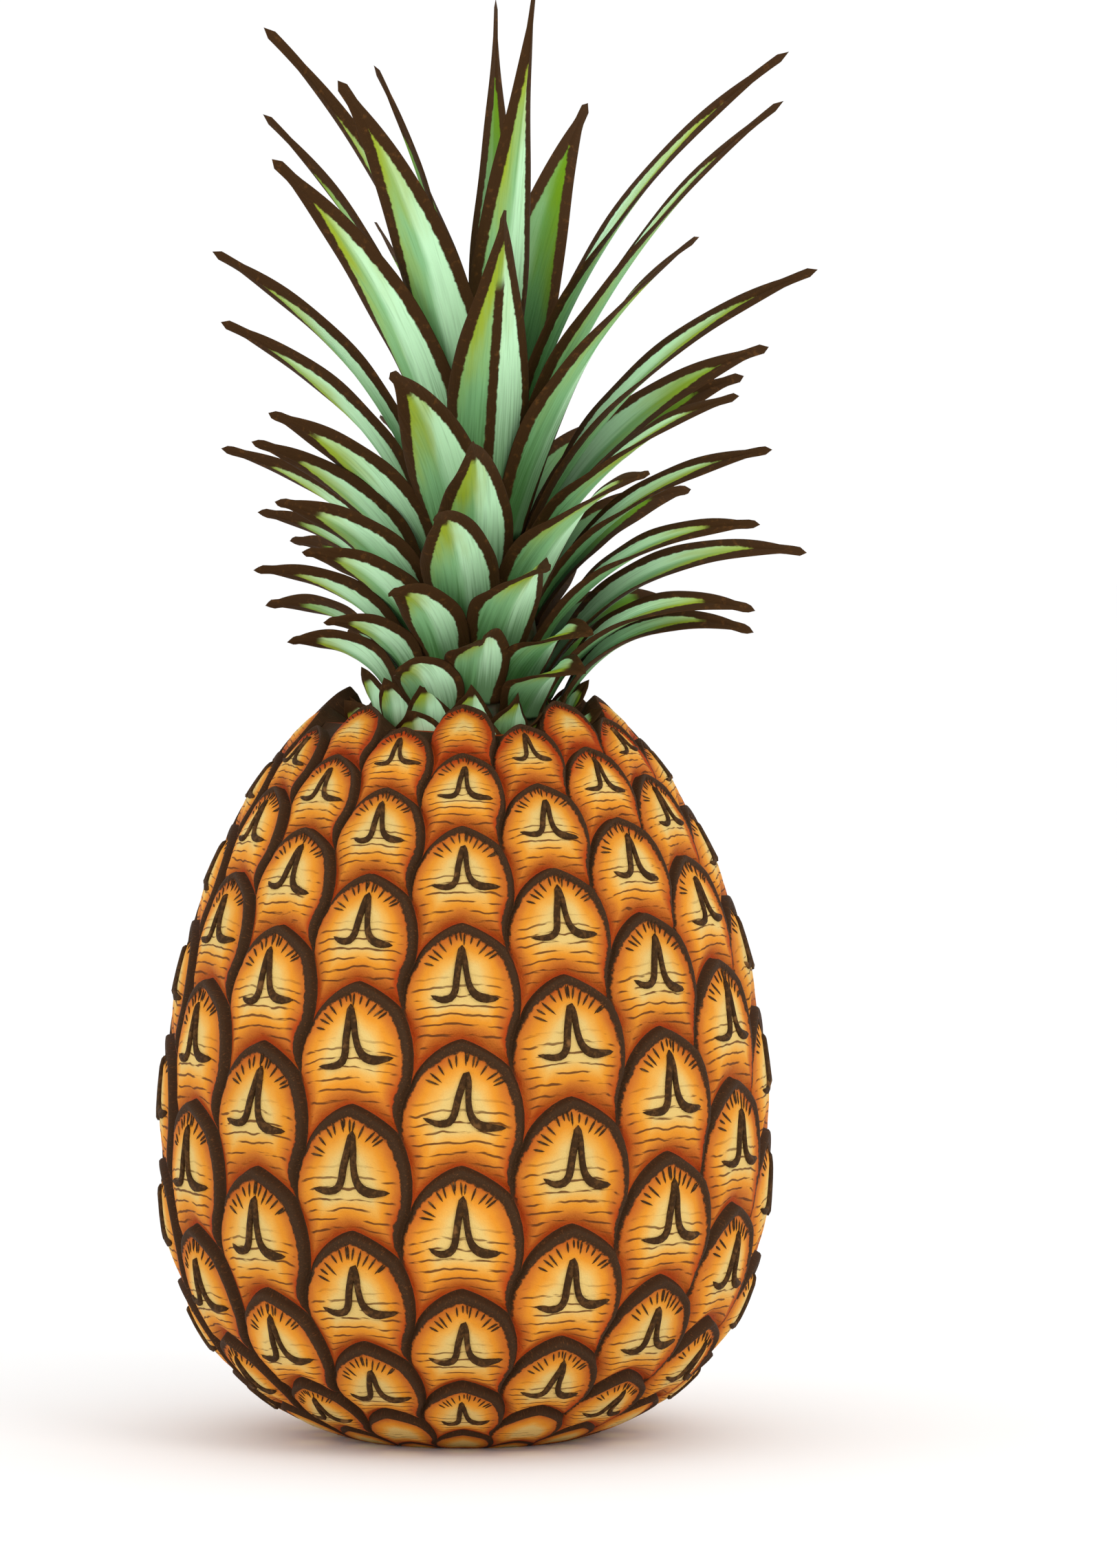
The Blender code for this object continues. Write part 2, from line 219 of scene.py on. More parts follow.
# %% [markdown]
# The rind's plan
#
# A pineapple is a spike of about a hundred and sixty small fruits, fused into one. Each shows as an eye,
# and the eyes stand in two sets of spirals, 8 one way and 9 the other, so that they also line up in 17
# upright columns. Counting the eyes along one slow spiral gives the whole plan: every next eye is two
# columns round and one seventeenth of a row higher. A table turns a row into a radius and a height on
# the fruit's profile, with rows spaced by the local radius, so that eyes keep their shape and shrink
# towards both ends.

# %% Sizes of the fruit and plan of its eyes
FRUIT_RADIUS = 0.065
WAIST_HEIGHT = 0.062             # where the fruit is widest
UPPER_REACH = 0.105              # from the waist to the closed top of the profile
LOWER_REACH = 0.0645
LOWER_SQUARENESS = 2.5           # 2 is an ellipse, and more is fuller
COLLAR_DROP = 0.0078             # the collar stands this much below the profile's top
COLLAR_TOP = WAIST_HEIGHT + UPPER_REACH - COLLAR_DROP
COLUMNS = 17
RIGHT_SPIRALS = 9
LEFT_SPIRALS = 8
PITCH = 2.0 * math.pi / COLUMNS  # angle between columns
TURN = 4.0 * math.pi / COLUMNS   # angle from one eye to the next
FRONT_EYE_HEIGHT = 0.1000        # eye 0 faces the front here
ROW_STRETCH = 1.11               # height of a row over the width of a column
RELIEF = 0.0022                  # depth of the grooves below the crests
BASE_FADE = 0.010                # the relief fades out below this height
EYE_TOP = 0.57                   # in rows from the eye's middle
LEFT_CORNER = (-0.46, 0.20)      # in columns and rows from the eye's middle
RIGHT_CORNER = (0.45, 0.32)
ARCH_POINTS = (1.5, 1.25)        # how pointed the arch is: 2 is an ellipse, 1 straight
STALK_RADIUS = 0.0110
STALK_DEPTH = 0.0060
STALK_MARGIN = 0.0025            # from the stalk to the lowest eyes
FIT_GAP = 0.0003
print("column width %.1f mm at the waist" % (FRUIT_RADIUS * PITCH / MM))

# %% Profile of the fruit, in rows
PROFILE_STEPS = 400
SLOPE_STEP = 0.02                # in rows


def crest_radius(height):
    """Radius of the curve that touches the crests of the eyes."""
    if height >= WAIST_HEIGHT:
        share = min((height - WAIST_HEIGHT) / UPPER_REACH, 1.0)
        return FRUIT_RADIUS * math.sqrt(1.0 - share * share)
    share = (WAIST_HEIGHT - height) / LOWER_REACH
    return FRUIT_RADIUS * (1.0 - share ** LOWER_SQUARENESS) ** (1.0 / LOWER_SQUARENESS)


def profile_table():
    """Points of the crest curve from the stalk outwards and up, and the row number at each."""
    inner = STALK_RADIUS * 0.5
    edge = crest_radius(0.0)
    flat = [(inner + (edge - inner) * i / PROFILE_STEPS, 0.0) for i in range(PROFILE_STEPS)]
    heights = [COLLAR_TOP * i / PROFILE_STEPS for i in range(PROFILE_STEPS + 1)]
    points = np.array(flat + [(crest_radius(height), height) for height in heights])
    steps = np.hypot(*np.diff(points, axis=0).T)
    middle = (points[1:] + points[:-1]) / 2.0
    rows = np.concatenate([[0.0], np.cumsum(steps / (middle[:, 0] * PITCH * ROW_STRETCH))])
    front = np.interp(FRONT_EYE_HEIGHT, points[PROFILE_STEPS:, 1], rows[PROFILE_STEPS:])
    return points, rows - front


PROFILE, PROFILE_ROWS = profile_table()


def skin_points(azimuth, row, lift):
    """Points of the skin, as an array: lift is 0 in the grooves and 1 on the crests."""
    radius = np.interp(row, PROFILE_ROWS, PROFILE[:, 0])
    height = np.interp(row, PROFILE_ROWS, PROFILE[:, 1])
    wider = np.interp(row + SLOPE_STEP, PROFILE_ROWS, PROFILE[:, 0])
    wider = wider - np.interp(row - SLOPE_STEP, PROFILE_ROWS, PROFILE[:, 0])
    rise = np.interp(row + SLOPE_STEP, PROFILE_ROWS, PROFILE[:, 1])
    rise = rise - np.interp(row - SLOPE_STEP, PROFILE_ROWS, PROFILE[:, 1])
    slope = np.arctan2(-wider, rise)
    depth = RELIEF * (1.0 - lift) * smooth_step(height / BASE_FADE)
    radius = radius - depth * np.cos(slope)
    height = np.maximum(height - depth * np.sin(slope), 0.0)
    return np.stack([radius * np.sin(azimuth), -radius * np.cos(azimuth), height], axis=-1)


def row_at_base_radius(radius):
    """Row where the flat base has the given radius."""
    return float(np.interp(radius, PROFILE[:PROFILE_STEPS, 0], PROFILE_ROWS[:PROFILE_STEPS]))


lowest_row = row_at_base_radius(STALK_RADIUS + STALK_MARGIN) + 1.0 - LEFT_CORNER[1]
FIRST_EYE = math.ceil(lowest_row * COLUMNS)
LAST_EYE = math.floor((PROFILE_ROWS[-1] - EYE_TOP) * COLUMNS)
EYES = np.arange(FIRST_EYE, LAST_EYE + 1)
print("eyes:", len(EYES), "in", round(len(EYES) / COLUMNS, 1), "rows")

# %% [markdown]
# One eye
#
# An eye is a scale: an arched rim at the top and along its right side, a swollen middle, and a lower
# edge that tucks under the rims of the three eyes below. Its edge is therefore its own arch and then
# the arches of its neighbours, and because neighbours share those points the rind closes without a
# seam. Rings of points run from the edge to the middle, close together under the rim, where the shape
# changes fastest.

# %% Outline of an eye
ARCH_STEPS = 18                  # straight steps over an arch
FLANK_STEPS = 5                  # down its right flank
FOOT_STEPS = 4                   # along its short left foot
FLANK_BOW = -0.10


def arch_outline(share):
    """The arch of an eye from its left corner (share 0) over the apex to its right corner."""
    share = np.asarray(share, float)
    left = share < 0.5
    wide = np.where(left, -LEFT_CORNER[0], RIGHT_CORNER[0])
    low = np.where(left, LEFT_CORNER[1], RIGHT_CORNER[1])
    angle = math.pi * np.minimum(share, 1.0 - share)
    power = 2.0 / np.where(left, *ARCH_POINTS)
    across = np.where(left, -1.0, 1.0) * wide * np.clip(np.cos(angle), 0.0, 1.0) ** power
    up = low + (EYE_TOP - low) * np.sin(angle) ** power
    return np.stack([across, up], axis=-1)


def bowed(start, end, bow, count):
    """Points between two corners, bowed sideways, without the corners themselves."""
    share = np.arange(1, count)[:, None] / count
    start, end = np.array(start), np.array(end)
    side = np.array([end[1] - start[1], start[0] - end[0]])
    return start + (end - start) * share + side * bow * 4.0 * share * (1.0 - share)


LEFT_FOOT = (RIGHT_CORNER[0] - 1.0, RIGHT_CORNER[1] - RIGHT_SPIRALS / COLUMNS)
RIGHT_FOOT = (LEFT_CORNER[0] + 1.0, LEFT_CORNER[1] - LEFT_SPIRALS / COLUMNS)
ARCH = arch_outline(np.arange(ARCH_STEPS + 1) / ARCH_STEPS)
FLANK = bowed(RIGHT_CORNER, RIGHT_FOOT, FLANK_BOW, FLANK_STEPS)
FOOT = bowed(LEFT_FOOT, LEFT_CORNER, FLANK_BOW, FOOT_STEPS)


def eye_edge():
    """The edge of an eye: (key of the point's owner, its index) and its place, clockwise."""
    below, lower_left, lower_right = -COLUMNS, -RIGHT_SPIRALS, -LEFT_SPIRALS
    shift = {below: (0.0, -1.0),
             lower_left: (-1.0, -RIGHT_SPIRALS / COLUMNS),
             lower_right: (1.0, -LEFT_SPIRALS / COLUMNS)}
    keys, places = [], []

    def add(owner, kind, points, order):
        move = np.array(shift.get(owner, (0.0, 0.0)))
        for i in order:
            keys.append((owner, kind, i))
            places.append(points[i] + move)

    add(lower_left, "arch", ARCH, [ARCH_STEPS])
    add(0, "foot", FOOT, range(FOOT_STEPS - 1))
    add(0, "arch", ARCH, range(ARCH_STEPS + 1))
    add(0, "flank", FLANK, range(FLANK_STEPS - 1))
    add(lower_right, "arch", ARCH, [0])
    add(lower_right, "foot", FOOT, range(FOOT_STEPS - 2, -1, -1))
    add(below, "arch", ARCH, range(ARCH_STEPS, -1, -1))
    add(lower_left, "flank", FLANK, range(FLANK_STEPS - 2, -1, -1))
    return keys, np.array(places)


EDGE_KEYS, EDGE = eye_edge()
EDGE_COUNT = len(EDGE)
print("an eye's edge has", EDGE_COUNT, "points")

# %% How much rim the edge carries
LEFT_RIM = 0.30                  # of the full rim, at the left foot
FLANK_LOSS = 0.30                # share of the rim that goes down the right flank
RIM_GROWS = (-0.15, 0.40)        # along the arch, from 0 at its left corner to 1
RIM_FADES = (1.0, 1.3)


def rim_weight():
    """How much of a rim each point of the edge carries: none on the lower edge, full at the right."""
    weight = np.zeros(EDGE_COUNT)
    last = FOOT_STEPS + ARCH_STEPS + FLANK_STEPS + FOOT_STEPS
    for i in range(last + 1):
        share = (i - FOOT_STEPS) / ARCH_STEPS
        weight[i] = LEFT_RIM + (1.0 - LEFT_RIM) * between(share, *RIM_GROWS)
        weight[i] *= 1.0 - FLANK_LOSS * between(share, *RIM_FADES)
    smooth = (np.roll(weight, 1) + 2.0 * weight + np.roll(weight, -1)) / 4.0
    return (np.roll(smooth, 1) + 2.0 * smooth + np.roll(smooth, -1)) / 4.0


RIM = rim_weight()
print("rim along the edge: from %.2f to %.2f" % (RIM.min(), RIM.max()))

# %% Rings of an eye, and how high each point stands
EYE_HEART = (0.0, 0.10)          # middle of the swell, a little above the middle of the eye
HEART_SIZE = (0.15, 0.17)
HEART_EVENNESS = 0.5             # share by which the heart's points are spread evenly
EDGE_SUBSTEPS = 5
RIM_REACH = 4.0                  # higher keeps the rim's strength closer to the edge it came from
NEAREST = 0.05                   # mm, keeps the weights finite on the edge itself
RIM_WIDTH = 0.0030               # of a full-size eye at the waist
ROUNDING = 0.35                  # share of the rim's width over which it rises from the groove
BEAD_FALL = 0.36                 # share of the relief that the rim falls on its inner side
BEAD_ENDS = (0.5, 1.05)          # in rim widths from the edge
SWELL = (0.60, 0.34)             # share of the relief inside the rim, and its gain from there
SWELL_REACH = (2.0, 8.5)         # mm from the edge
TUCK = (0.66, 0.28)              # the same for the lower edge, which has no rim
TUCK_REACH = 3.4                 # mm
RING_DEPTHS = (0.0, 0.028, 0.062, 0.10, 0.15, 0.21, 0.29, 0.40, 0.55, 0.75, 1.0)
CORNER_POINT = 49                # number of the edge's lower left corner, a narrow wedge
CORNER_SPREAD = 3.0              # points either side of it that take part in the bend
CORNER_BEND = np.array([-0.05, 0.03])


def heart_ring():
    """A small oval round the heart of an eye, with one point for each point of its edge."""
    away = EDGE - np.array(EYE_HEART)
    angle = np.minimum.accumulate(np.unwrap(np.arctan2(away[:, 1], away[:, 0])))
    even = angle[0] - 2.0 * math.pi * np.arange(EDGE_COUNT) / EDGE_COUNT
    angle = angle + (even - angle) * HEART_EVENNESS
    ring = np.stack([np.cos(angle), np.sin(angle)], axis=1)
    return np.array(EYE_HEART) + ring * np.array(HEART_SIZE)


CORE = heart_ring()


def edge_distance(place):
    """Distance in mm from each place to an eye's edge, and the rim that the edge has there."""
    scale = np.array([1.0, ROW_STRETCH]) * FRUIT_RADIUS * PITCH / MM
    after = np.roll(EDGE, -1, axis=0)
    shares = np.arange(EDGE_SUBSTEPS)[:, None, None] / EDGE_SUBSTEPS
    line = (EDGE + (after - EDGE) * shares).reshape(-1, 2)
    weight = (RIM + (np.roll(RIM, -1) - RIM) * shares[:, :, 0]).ravel()
    gap = np.linalg.norm((place[:, None, :] - line[None, :, :]) * scale, axis=2)
    near = 1.0 / (gap + NEAREST) ** RIM_REACH
    return gap.min(axis=1), (near * weight).sum(axis=1) / near.sum(axis=1)


def eye_lift(gap, rim):
    """Height of the skin over the groove, from 0 to 1, at a distance in mm from the edge."""
    under = gap / (RIM_WIDTH / MM)
    swell = SWELL[0] + SWELL[1] * between(gap, *SWELL_REACH)
    bead = between(under, 0.0, ROUNDING) * (1.0 - BEAD_FALL * between(under, *BEAD_ENDS))
    tucked = TUCK[0] * between(gap, 0.0, TUCK_REACH) + TUCK[1] * between(gap, *SWELL_REACH)
    return rim * np.maximum(bead, swell * between(under, 0.0, ROUNDING)) + (1.0 - rim) * tucked


def ring_at(depth):
    """The ring at a share of the way to the heart, bent so that it doesn't fold in the corner."""
    near = np.exp(-((np.arange(EDGE_COUNT) - CORNER_POINT) / CORNER_SPREAD) ** 2)
    bend = 4.0 * depth * (1.0 - depth) * near[:, None] * CORNER_BEND
    return EDGE + (CORE - EDGE) * depth + bend


RINGS = np.array([ring_at(depth) for depth in RING_DEPTHS])
PLACE = np.concatenate([RINGS.reshape(-1, 2), [EYE_HEART]])
INSET, RIM_VALUE = edge_distance(PLACE)
INSET[:EDGE_COUNT] = 0.0
LIFT = eye_lift(INSET, RIM_VALUE)
print("rim crest lift %.2f, middle lift %.2f" % (LIFT.max(), LIFT[-1]))

# %% The rind's mesh
POINTS_PER_EYE = len(RING_DEPTHS) * EDGE_COUNT + 1
RIND_SEED = 7
EYE_TILT = 0.045                 # how much eyes differ in height and slope


def eye_faces():
    """Faces of one eye by the local numbers of its points: ring after ring, then the middle."""
    i = np.arange(EDGE_COUNT)
    after = (i + 1) % EDGE_COUNT
    quads = []
    for ring in range(len(RING_DEPTHS) - 1):
        outer, inner = ring * EDGE_COUNT, (ring + 1) * EDGE_COUNT
        quads.append(np.stack([outer + i, inner + i, inner + after, outer + after], axis=1))
    last = (len(RING_DEPTHS) - 1) * EDGE_COUNT
    fan = np.stack([last + i, np.full(EDGE_COUNT, POINTS_PER_EYE - 1), last + after], axis=1)
    return np.concatenate(quads), fan


QUADS, FAN = eye_faces()


def build_rind():
    """Points and faces of all eyes, and each face corner's local point and eye."""
    dice = np.random.default_rng(RIND_SEED)
    shared, points, faces, corners, tones = {}, [], [], [], []
    for number in EYES:
        tilt = dice.normal(0.0, EYE_TILT, 3)
        lift = LIFT * (1.0 + tilt[0] + tilt[1] * PLACE[:, 0] + tilt[2] * PLACE[:, 1])
        azimuth = number * TURN + PLACE[:, 0] * PITCH
        spots = skin_points(azimuth, number / COLUMNS + PLACE[:, 1], lift)
        index = np.zeros(POINTS_PER_EYE, int)
        for i, (owner, kind, step) in enumerate(EDGE_KEYS):
            key = (number + owner, kind, step)
            if key not in shared:
                shared[key] = len(points)
                points.append(spots[i])
            index[i] = shared[key]
        index[EDGE_COUNT:] = len(points) + np.arange(POINTS_PER_EYE - EDGE_COUNT)
        points.extend(spots[EDGE_COUNT:])
        tone = dice.random()
        for group in (QUADS, FAN):
            faces.extend(index[group].tolist())
            corners.append(group.ravel())
            tones.append(np.full(len(group), tone))
    return points, faces, np.concatenate(corners), np.concatenate(tones)


def add_values(mesh, values, domain):
    """Store arrays of numbers on a mesh for its material."""
    for name, numbers in values.items():
        layer = mesh.attributes.new(name, "FLOAT", domain)
        layer.data.foreach_set("value", np.asarray(numbers, np.float32))


def add_piece(name, mesh):
    piece = bpy.data.objects.new(name, mesh)
    scene.collection.objects.link(piece)
    return piece


rind_points, rind_faces, rind_corners, rind_tones = build_rind()
rind_mesh = bpy.data.meshes.new("fruit_skin")
rind_mesh.from_pydata(rind_points, [], rind_faces)
add_values(rind_mesh, {"inset": INSET[rind_corners], "rim": RIM_VALUE[rind_corners],
                       "across": PLACE[rind_corners, 0], "up": PLACE[rind_corners, 1]}, "CORNER")
add_values(rind_mesh, {"tone": rind_tones}, "FACE")
print("rind:", len(rind_points), "points and", len(rind_faces), "faces")

# %% [markdown]
# Where the crown and the stalk sit
#
# The top of the fruit turns in to a seat for the crown, and the flat foot has a shallow recess round
# the stub of the stalk. The crown leans a little, so its seat leans with it.

# %% Closing the rind at the seat and at the foot
SEAT_DEPTH = 0.0092
CROWN_SEAT = COLLAR_TOP - SEAT_DEPTH
CROWN_SHIFT = 0.0015
CROWN_LEAN = 3.2                 # degrees to the right
COLLAR_WALL = 0.87               # radius of the seat over the radius of the collar
STALK_SIDES = 24
CROWN = (Matrix.Translation((CROWN_SHIFT, 0.0, CROWN_SEAT))
         @ Matrix.Rotation(math.radians(CROWN_LEAN), 4, "Y"))


def close_top(mesh, edges):
    """Turn the ragged upper edge down to the seat that carries the crown."""
    to_crown = CROWN.inverted()
    made = bmesh.ops.extrude_edge_only(mesh, edges=edges)["geom"]
    for point in [item for item in made if isinstance(item, bmesh.types.BMVert)]:
        inside = to_crown @ point.co
        point.co = CROWN @ Vector((inside.x * COLLAR_WALL, inside.y * COLLAR_WALL, 0.0))
    rim = [item for item in made if isinstance(item, bmesh.types.BMEdge)]
    up = CROWN.to_3x3() @ Vector((0.0, 0.0, 1.0))
    bmesh.ops.triangle_fill(mesh, edges=rim, normal=up, use_beauty=True)


def close_foot(mesh, edges):
    """Close the flat foot round the recess of the stalk."""
    radius = STALK_RADIUS + FIT_GAP
    angles = [2.0 * math.pi * i / STALK_SIDES for i in range(STALK_SIDES)]
    ring = [mesh.verts.new((radius * math.cos(a), radius * math.sin(a), 0.0)) for a in angles]
    hole = [mesh.edges.new((ring[i - 1], ring[i])) for i in range(STALK_SIDES)]
    bmesh.ops.triangle_fill(mesh, edges=edges + hole, normal=(0.0, 0.0, -1.0), use_beauty=True)
    made = bmesh.ops.extrude_edge_only(mesh, edges=hole)["geom"]
    raised = [item for item in made if isinstance(item, bmesh.types.BMVert)]
    bmesh.ops.translate(mesh, verts=raised, vec=(0.0, 0.0, STALK_DEPTH))
    bmesh.ops.contextual_create(mesh, geom=[e for e in made if isinstance(e, bmesh.types.BMEdge)])


def close_rind(data):
    """Close the skin at both ends, with crisp edges there, and count the edges left open."""
    mesh = bmesh.new()
    mesh.from_mesh(data)
    edges = [edge for edge in mesh.edges if edge.is_boundary]
    for edge in edges:
        edge.smooth = False
    close_top(mesh, [edge for edge in edges if edge.verts[0].co.z > WAIST_HEIGHT])
    close_foot(mesh, [edge for edge in edges if edge.verts[0].co.z < WAIST_HEIGHT])
    bmesh.ops.recalc_face_normals(mesh, faces=mesh.faces)
    leaks = sum(not edge.is_manifold for edge in mesh.edges)
    mesh.to_mesh(data)
    mesh.free()
    data.shade_smooth()
    return leaks


print("open edges left on the rind:", close_rind(rind_mesh))
fruit_skin = add_piece("fruit_skin", rind_mesh)
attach(fruit_skin, "root")
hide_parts("fruit")

# %% [markdown]
# The rind's colours
#
# Every eye is pale cream in the middle and turns orange and then rust red towards its groove. The rust
# is partly the rind's own colour and partly painted shade in the groove, on the eye's lower part where
# it tucks under its neighbours, and on the shoulder under the crown. Each eye carries a dark brown rim,
# and fine broken creases cross its lower half. The mesh knows, at each point, how far it is from the
# edge and where it is in the eye, so the material needs no picture.

# %% Helpers for materials


def node(tree, kind, inputs=None, **settings):
    """Add a node, set it up and plug its inputs."""
    made = tree.nodes.new(kind)
    for name, value in settings.items():
        setattr(made, name, value)
    for name, value in (inputs or {}).items():
        plug(tree, value, made.inputs[name])
    return made


def attribute(tree, name):
    return Field(tree, node(tree, "ShaderNodeAttribute", attribute_name=name).outputs["Fac"])


def combine(tree, x, y, z):
    return node(tree, "ShaderNodeCombineXYZ", {0: x, 1: y, 2: z}).outputs[0]


def object_place(tree):
    return node(tree, "ShaderNodeTexCoord").outputs["Object"]


def noise(tree, vector, scale, detail=2.0, roughness=0.5):
    made = node(tree, "ShaderNodeTexNoise",
                {"Vector": vector, "Scale": scale, "Detail": detail, "Roughness": roughness})
    return Field(tree, made.outputs["Fac"])


def mix(tree, amount, first, second):
    """Blend two colours, given as codes or sockets."""
    made = node(tree, "ShaderNodeMix", data_type="RGBA")
    first = paint(first) if isinstance(first, str) else first
    second = paint(second) if isinstance(second, str) else second
    for index, value in ((0, amount), (6, first), (7, second)):
        plug(tree, value, made.inputs[index])
    return made.outputs[2]


def coat(tree, shader, colour, height, distance, strength):
    """Give a shader its colour and its fine relief."""
    relief = node(tree, "ShaderNodeBump",
                  {"Strength": strength, "Distance": distance, "Height": height})
    plug(tree, colour, shader.inputs["Base Color"])
    plug(tree, relief.outputs[0], shader.inputs["Normal"])


def new_look(name, roughness, specular=0.4):
    look = bpy.data.materials.new(name)
    look.use_nodes = True
    shader = look.node_tree.nodes["Principled BSDF"]
    shader.inputs["Roughness"].default_value = roughness
    shader.inputs["Specular IOR Level"].default_value = specular
    return look, look.node_tree, shader


# %% Rind material
RIM_LINE = 2.8                   # mm, width of the brown rim
CREASE_SPACING = 0.082           # in rows
# Painted shade under the crown: between these heights the rind is darkened to rust red.
SHOULDER_SHADE = (0.136, 0.152)        # heights between which the rind turns rust red
SOLE = (0.0010, 0.0003)          # heights between which the flat foot turns to bark


def make_rind_look():
    look, tree, shader = new_look("pineapple_rind", 0.75, 0.15)
    inset, rim = attribute(tree, "inset"), attribute(tree, "rim")
    across, up = attribute(tree, "across"), attribute(tree, "up")
    tone = attribute(tree, "tone")
    place = combine(tree, across, up, tone * 9.0)
    rough = noise(tree, place, 26.0, 3.0, 0.6)
    cloud = noise(tree, place, 4.0, 2.0)

    width = rim * RIM_LINE + (rough - 0.5) * 1.4
    spot = object_place(tree)
    height = Field(tree, node(tree, "ShaderNodeSeparateXYZ", {0: spot}).outputs[2])
    # From the rim inwards the rind runs from rust red through orange to cream; the rust is partly the
    # rind's own colour and partly painted shade in the groove.
    free = inset - rim * RIM_LINE
    shaded_inset = free + (cloud - 0.5) * 3.0
    # Painted shade: the rust reaches further in on the eye's lower part, where it tucks under its
    # neighbours, and on the shoulder under the crown.
    shaded_inset = shaded_inset - up.ease(0.02, -0.42) * 1.5 - height.ease(*SHOULDER_SHADE) * 2.6
    colour = mix(tree, shaded_inset.ease(-1.8, 1.0), "A63A05", "C06A20")
    colour = mix(tree, shaded_inset.ease(0.4, 3.2), colour, "DB8C24")
    colour = mix(tree, shaded_inset.ease(2.8, 5.0), colour, "E1A548")
    colour = mix(tree, shaded_inset.ease(4.4, 7.0), colour, "DCBB70")

    low = up.ease(0.14, -0.06)
    fold = up + across * across * 0.22 + (cloud - 0.5) * 0.10
    wave = (fold * (2.0 * math.pi / CREASE_SPACING)).math("COSINE")
    broken = noise(tree, combine(tree, across * 4.0, up * 26.0, tone * 9.0), 1.0, 2.0)
    crease = wave.ease(0.70, 0.95) * broken.ease(0.38, 0.50) * low * free.ease(0.4, 2.0)
    colour = mix(tree, crease * 0.92, colour, "5E3212")

    line = (inset - width).ease(0.25, -0.25) * rim.ease(0.02, 0.25)
    fleck = noise(tree, place, 60.0, 2.0, 0.7)
    brown = mix(tree, fleck.ease(0.56, 0.74), "3B2511", "5E3A1C")
    colour = mix(tree, line, colour, brown)
    bark = mix(tree, noise(tree, spot, 900.0, 3.0, 0.6).ease(0.38, 0.62), "4E3016", "8E5A26")
    colour = mix(tree, height.ease(*SOLE) * inset.ease(0.6, 0.1), colour, bark)
    final = node(tree, "ShaderNodeHueSaturation",
                 {"Hue": 0.5, "Saturation": 1.0, "Value": tone * 0.10 + 0.95, "Color": colour})
    relief = fleck * 0.35 + rough * 0.4 - crease * 0.5
    coat(tree, shader, final.outputs[0], relief, 0.0012, 0.5)
    return look


rind_mesh.materials.append(make_rind_look())
print("rind material nodes:", len(rind_mesh.materials[0].node_tree.nodes))

# %% [markdown]
# Bracts and hairs
#
# Each little fruit grew behind a bract, a small leaf whose dry tip still lies on the eye: a dark spike
# with two feet spread along the crease. Inside the rim stand short stiff hairs. Both are drawn once,
# flat, as strokes in the eye's own measures, in three variants.

# %% A stroke


def stroke(path, widths, height, steps, sides):
    """A closed, tapered stroke along a path in the eye's plane, thin at both ends."""
    path, widths = np.array(path, float), np.array(widths, float)
    run = np.concatenate([[0.0], np.cumsum(np.hypot(*np.diff(path, axis=0).T))])
    spots = run[-1] * np.arange(steps + 1) / steps
    line = np.stack([np.interp(spots, run, path[:, 0]), np.interp(spots, run, path[:, 1])], axis=1)
    smooth = line.copy()
    smooth[1:-1] = (line[:-2] + 2.0 * line[1:-1] + line[2:]) / 4.0
    wide = np.interp(spots, run, widths)
    along = np.gradient(smooth, axis=0)
    along /= np.hypot(*along.T)[:, None]
    flat = np.stack([along[:, 1], -along[:, 0]], axis=1)
    points, faces = [(*smooth[0], 0.0)], []
    for step in range(1, steps):
        for side in range(sides):
            angle = 2.0 * math.pi * (side + 0.5) / sides
            x, y = smooth[step] + flat[step] * wide[step] * math.cos(angle)
            points.append((x, y, height * math.sin(angle) * min(wide[step] / wide.max() + 0.3, 1.0)))
    points.append((*smooth[-1], 0.0))
    for side in range(sides):
        after = (side + 1) % sides
        faces.append((0, 1 + after, 1 + side))
        for step in range(steps - 2):
            ring = 1 + step * sides
            faces.append((ring + side, ring + after, ring + sides + after, ring + sides + side))
        last = 1 + (steps - 2) * sides
        faces.append((last + side, last + after, len(points) - 1))
    return points, faces


def strokes_mesh(name, strokes):
    """Join strokes in one flat mesh, and keep each point's height apart for later."""
    points, faces = [], []
    for more_points, more_faces in strokes:
        faces += [tuple(i + len(points) for i in face) for face in more_faces]
        points += more_points
    mesh = bpy.data.meshes.new(name)
    mesh.from_pydata([(x, y, 0.0) for x, y, z in points], [], faces)
    add_values(mesh, {"high": [z for x, y, z in points]}, "POINT")
    return bpy.data.objects.new(name, mesh)


print("points of a short stroke:", len(stroke([(0, 0), (0, 1)], [0.1, 0.1], 0.1, 4, 4)[0]))

# %% The bract and the hairs, as strokes
STROKE_SEED = 11
VARIANTS = 3
BRACT_HEIGHT = 0.030             # in columns, as everything in the eye's plane
BRACT_STEPS, BRACT_SIDES = 34, 6
HAIR_COUNT = 13
HAIR_SPAN = (0.06, 0.98)         # along the arch, from its left corner
HAIR_ROOT = 0.77                 # share of the way from the heart to the arch
HAIR_LENGTH = 0.115
HAIR_WIDTHS = [0.012, 0.012, 0.005]
HAIR_HEIGHT = 0.012
HAIR_STEPS, HAIR_SIDES = 4, 4


def bract_strokes(dice):
    """A spike of two legs that meet at the top, with feet spread to the sides."""
    def vary(amount):
        return float(dice.normal(0.0, amount))
    lean = vary(0.02)
    path = [(-0.33 + vary(0.03), -0.10 + vary(0.02)), (-0.20, -0.125), (-0.10, -0.11),
            (-0.06, -0.05), (-0.045, 0.08), (-0.022 + lean, 0.22), (lean, 0.35 + vary(0.02)),
            (0.026 + lean, 0.22), (0.045, 0.09), (0.07, -0.02), (0.125, -0.09),
            (0.21, -0.115), (0.35 + vary(0.03), -0.10 + vary(0.02))]
    widths = [0.012, 0.030, 0.036, 0.036, 0.036, 0.036, 0.028, 0.032, 0.030, 0.034, 0.042,
              0.044, 0.016]
    return [stroke(path, widths, BRACT_HEIGHT, BRACT_STEPS, BRACT_SIDES)]


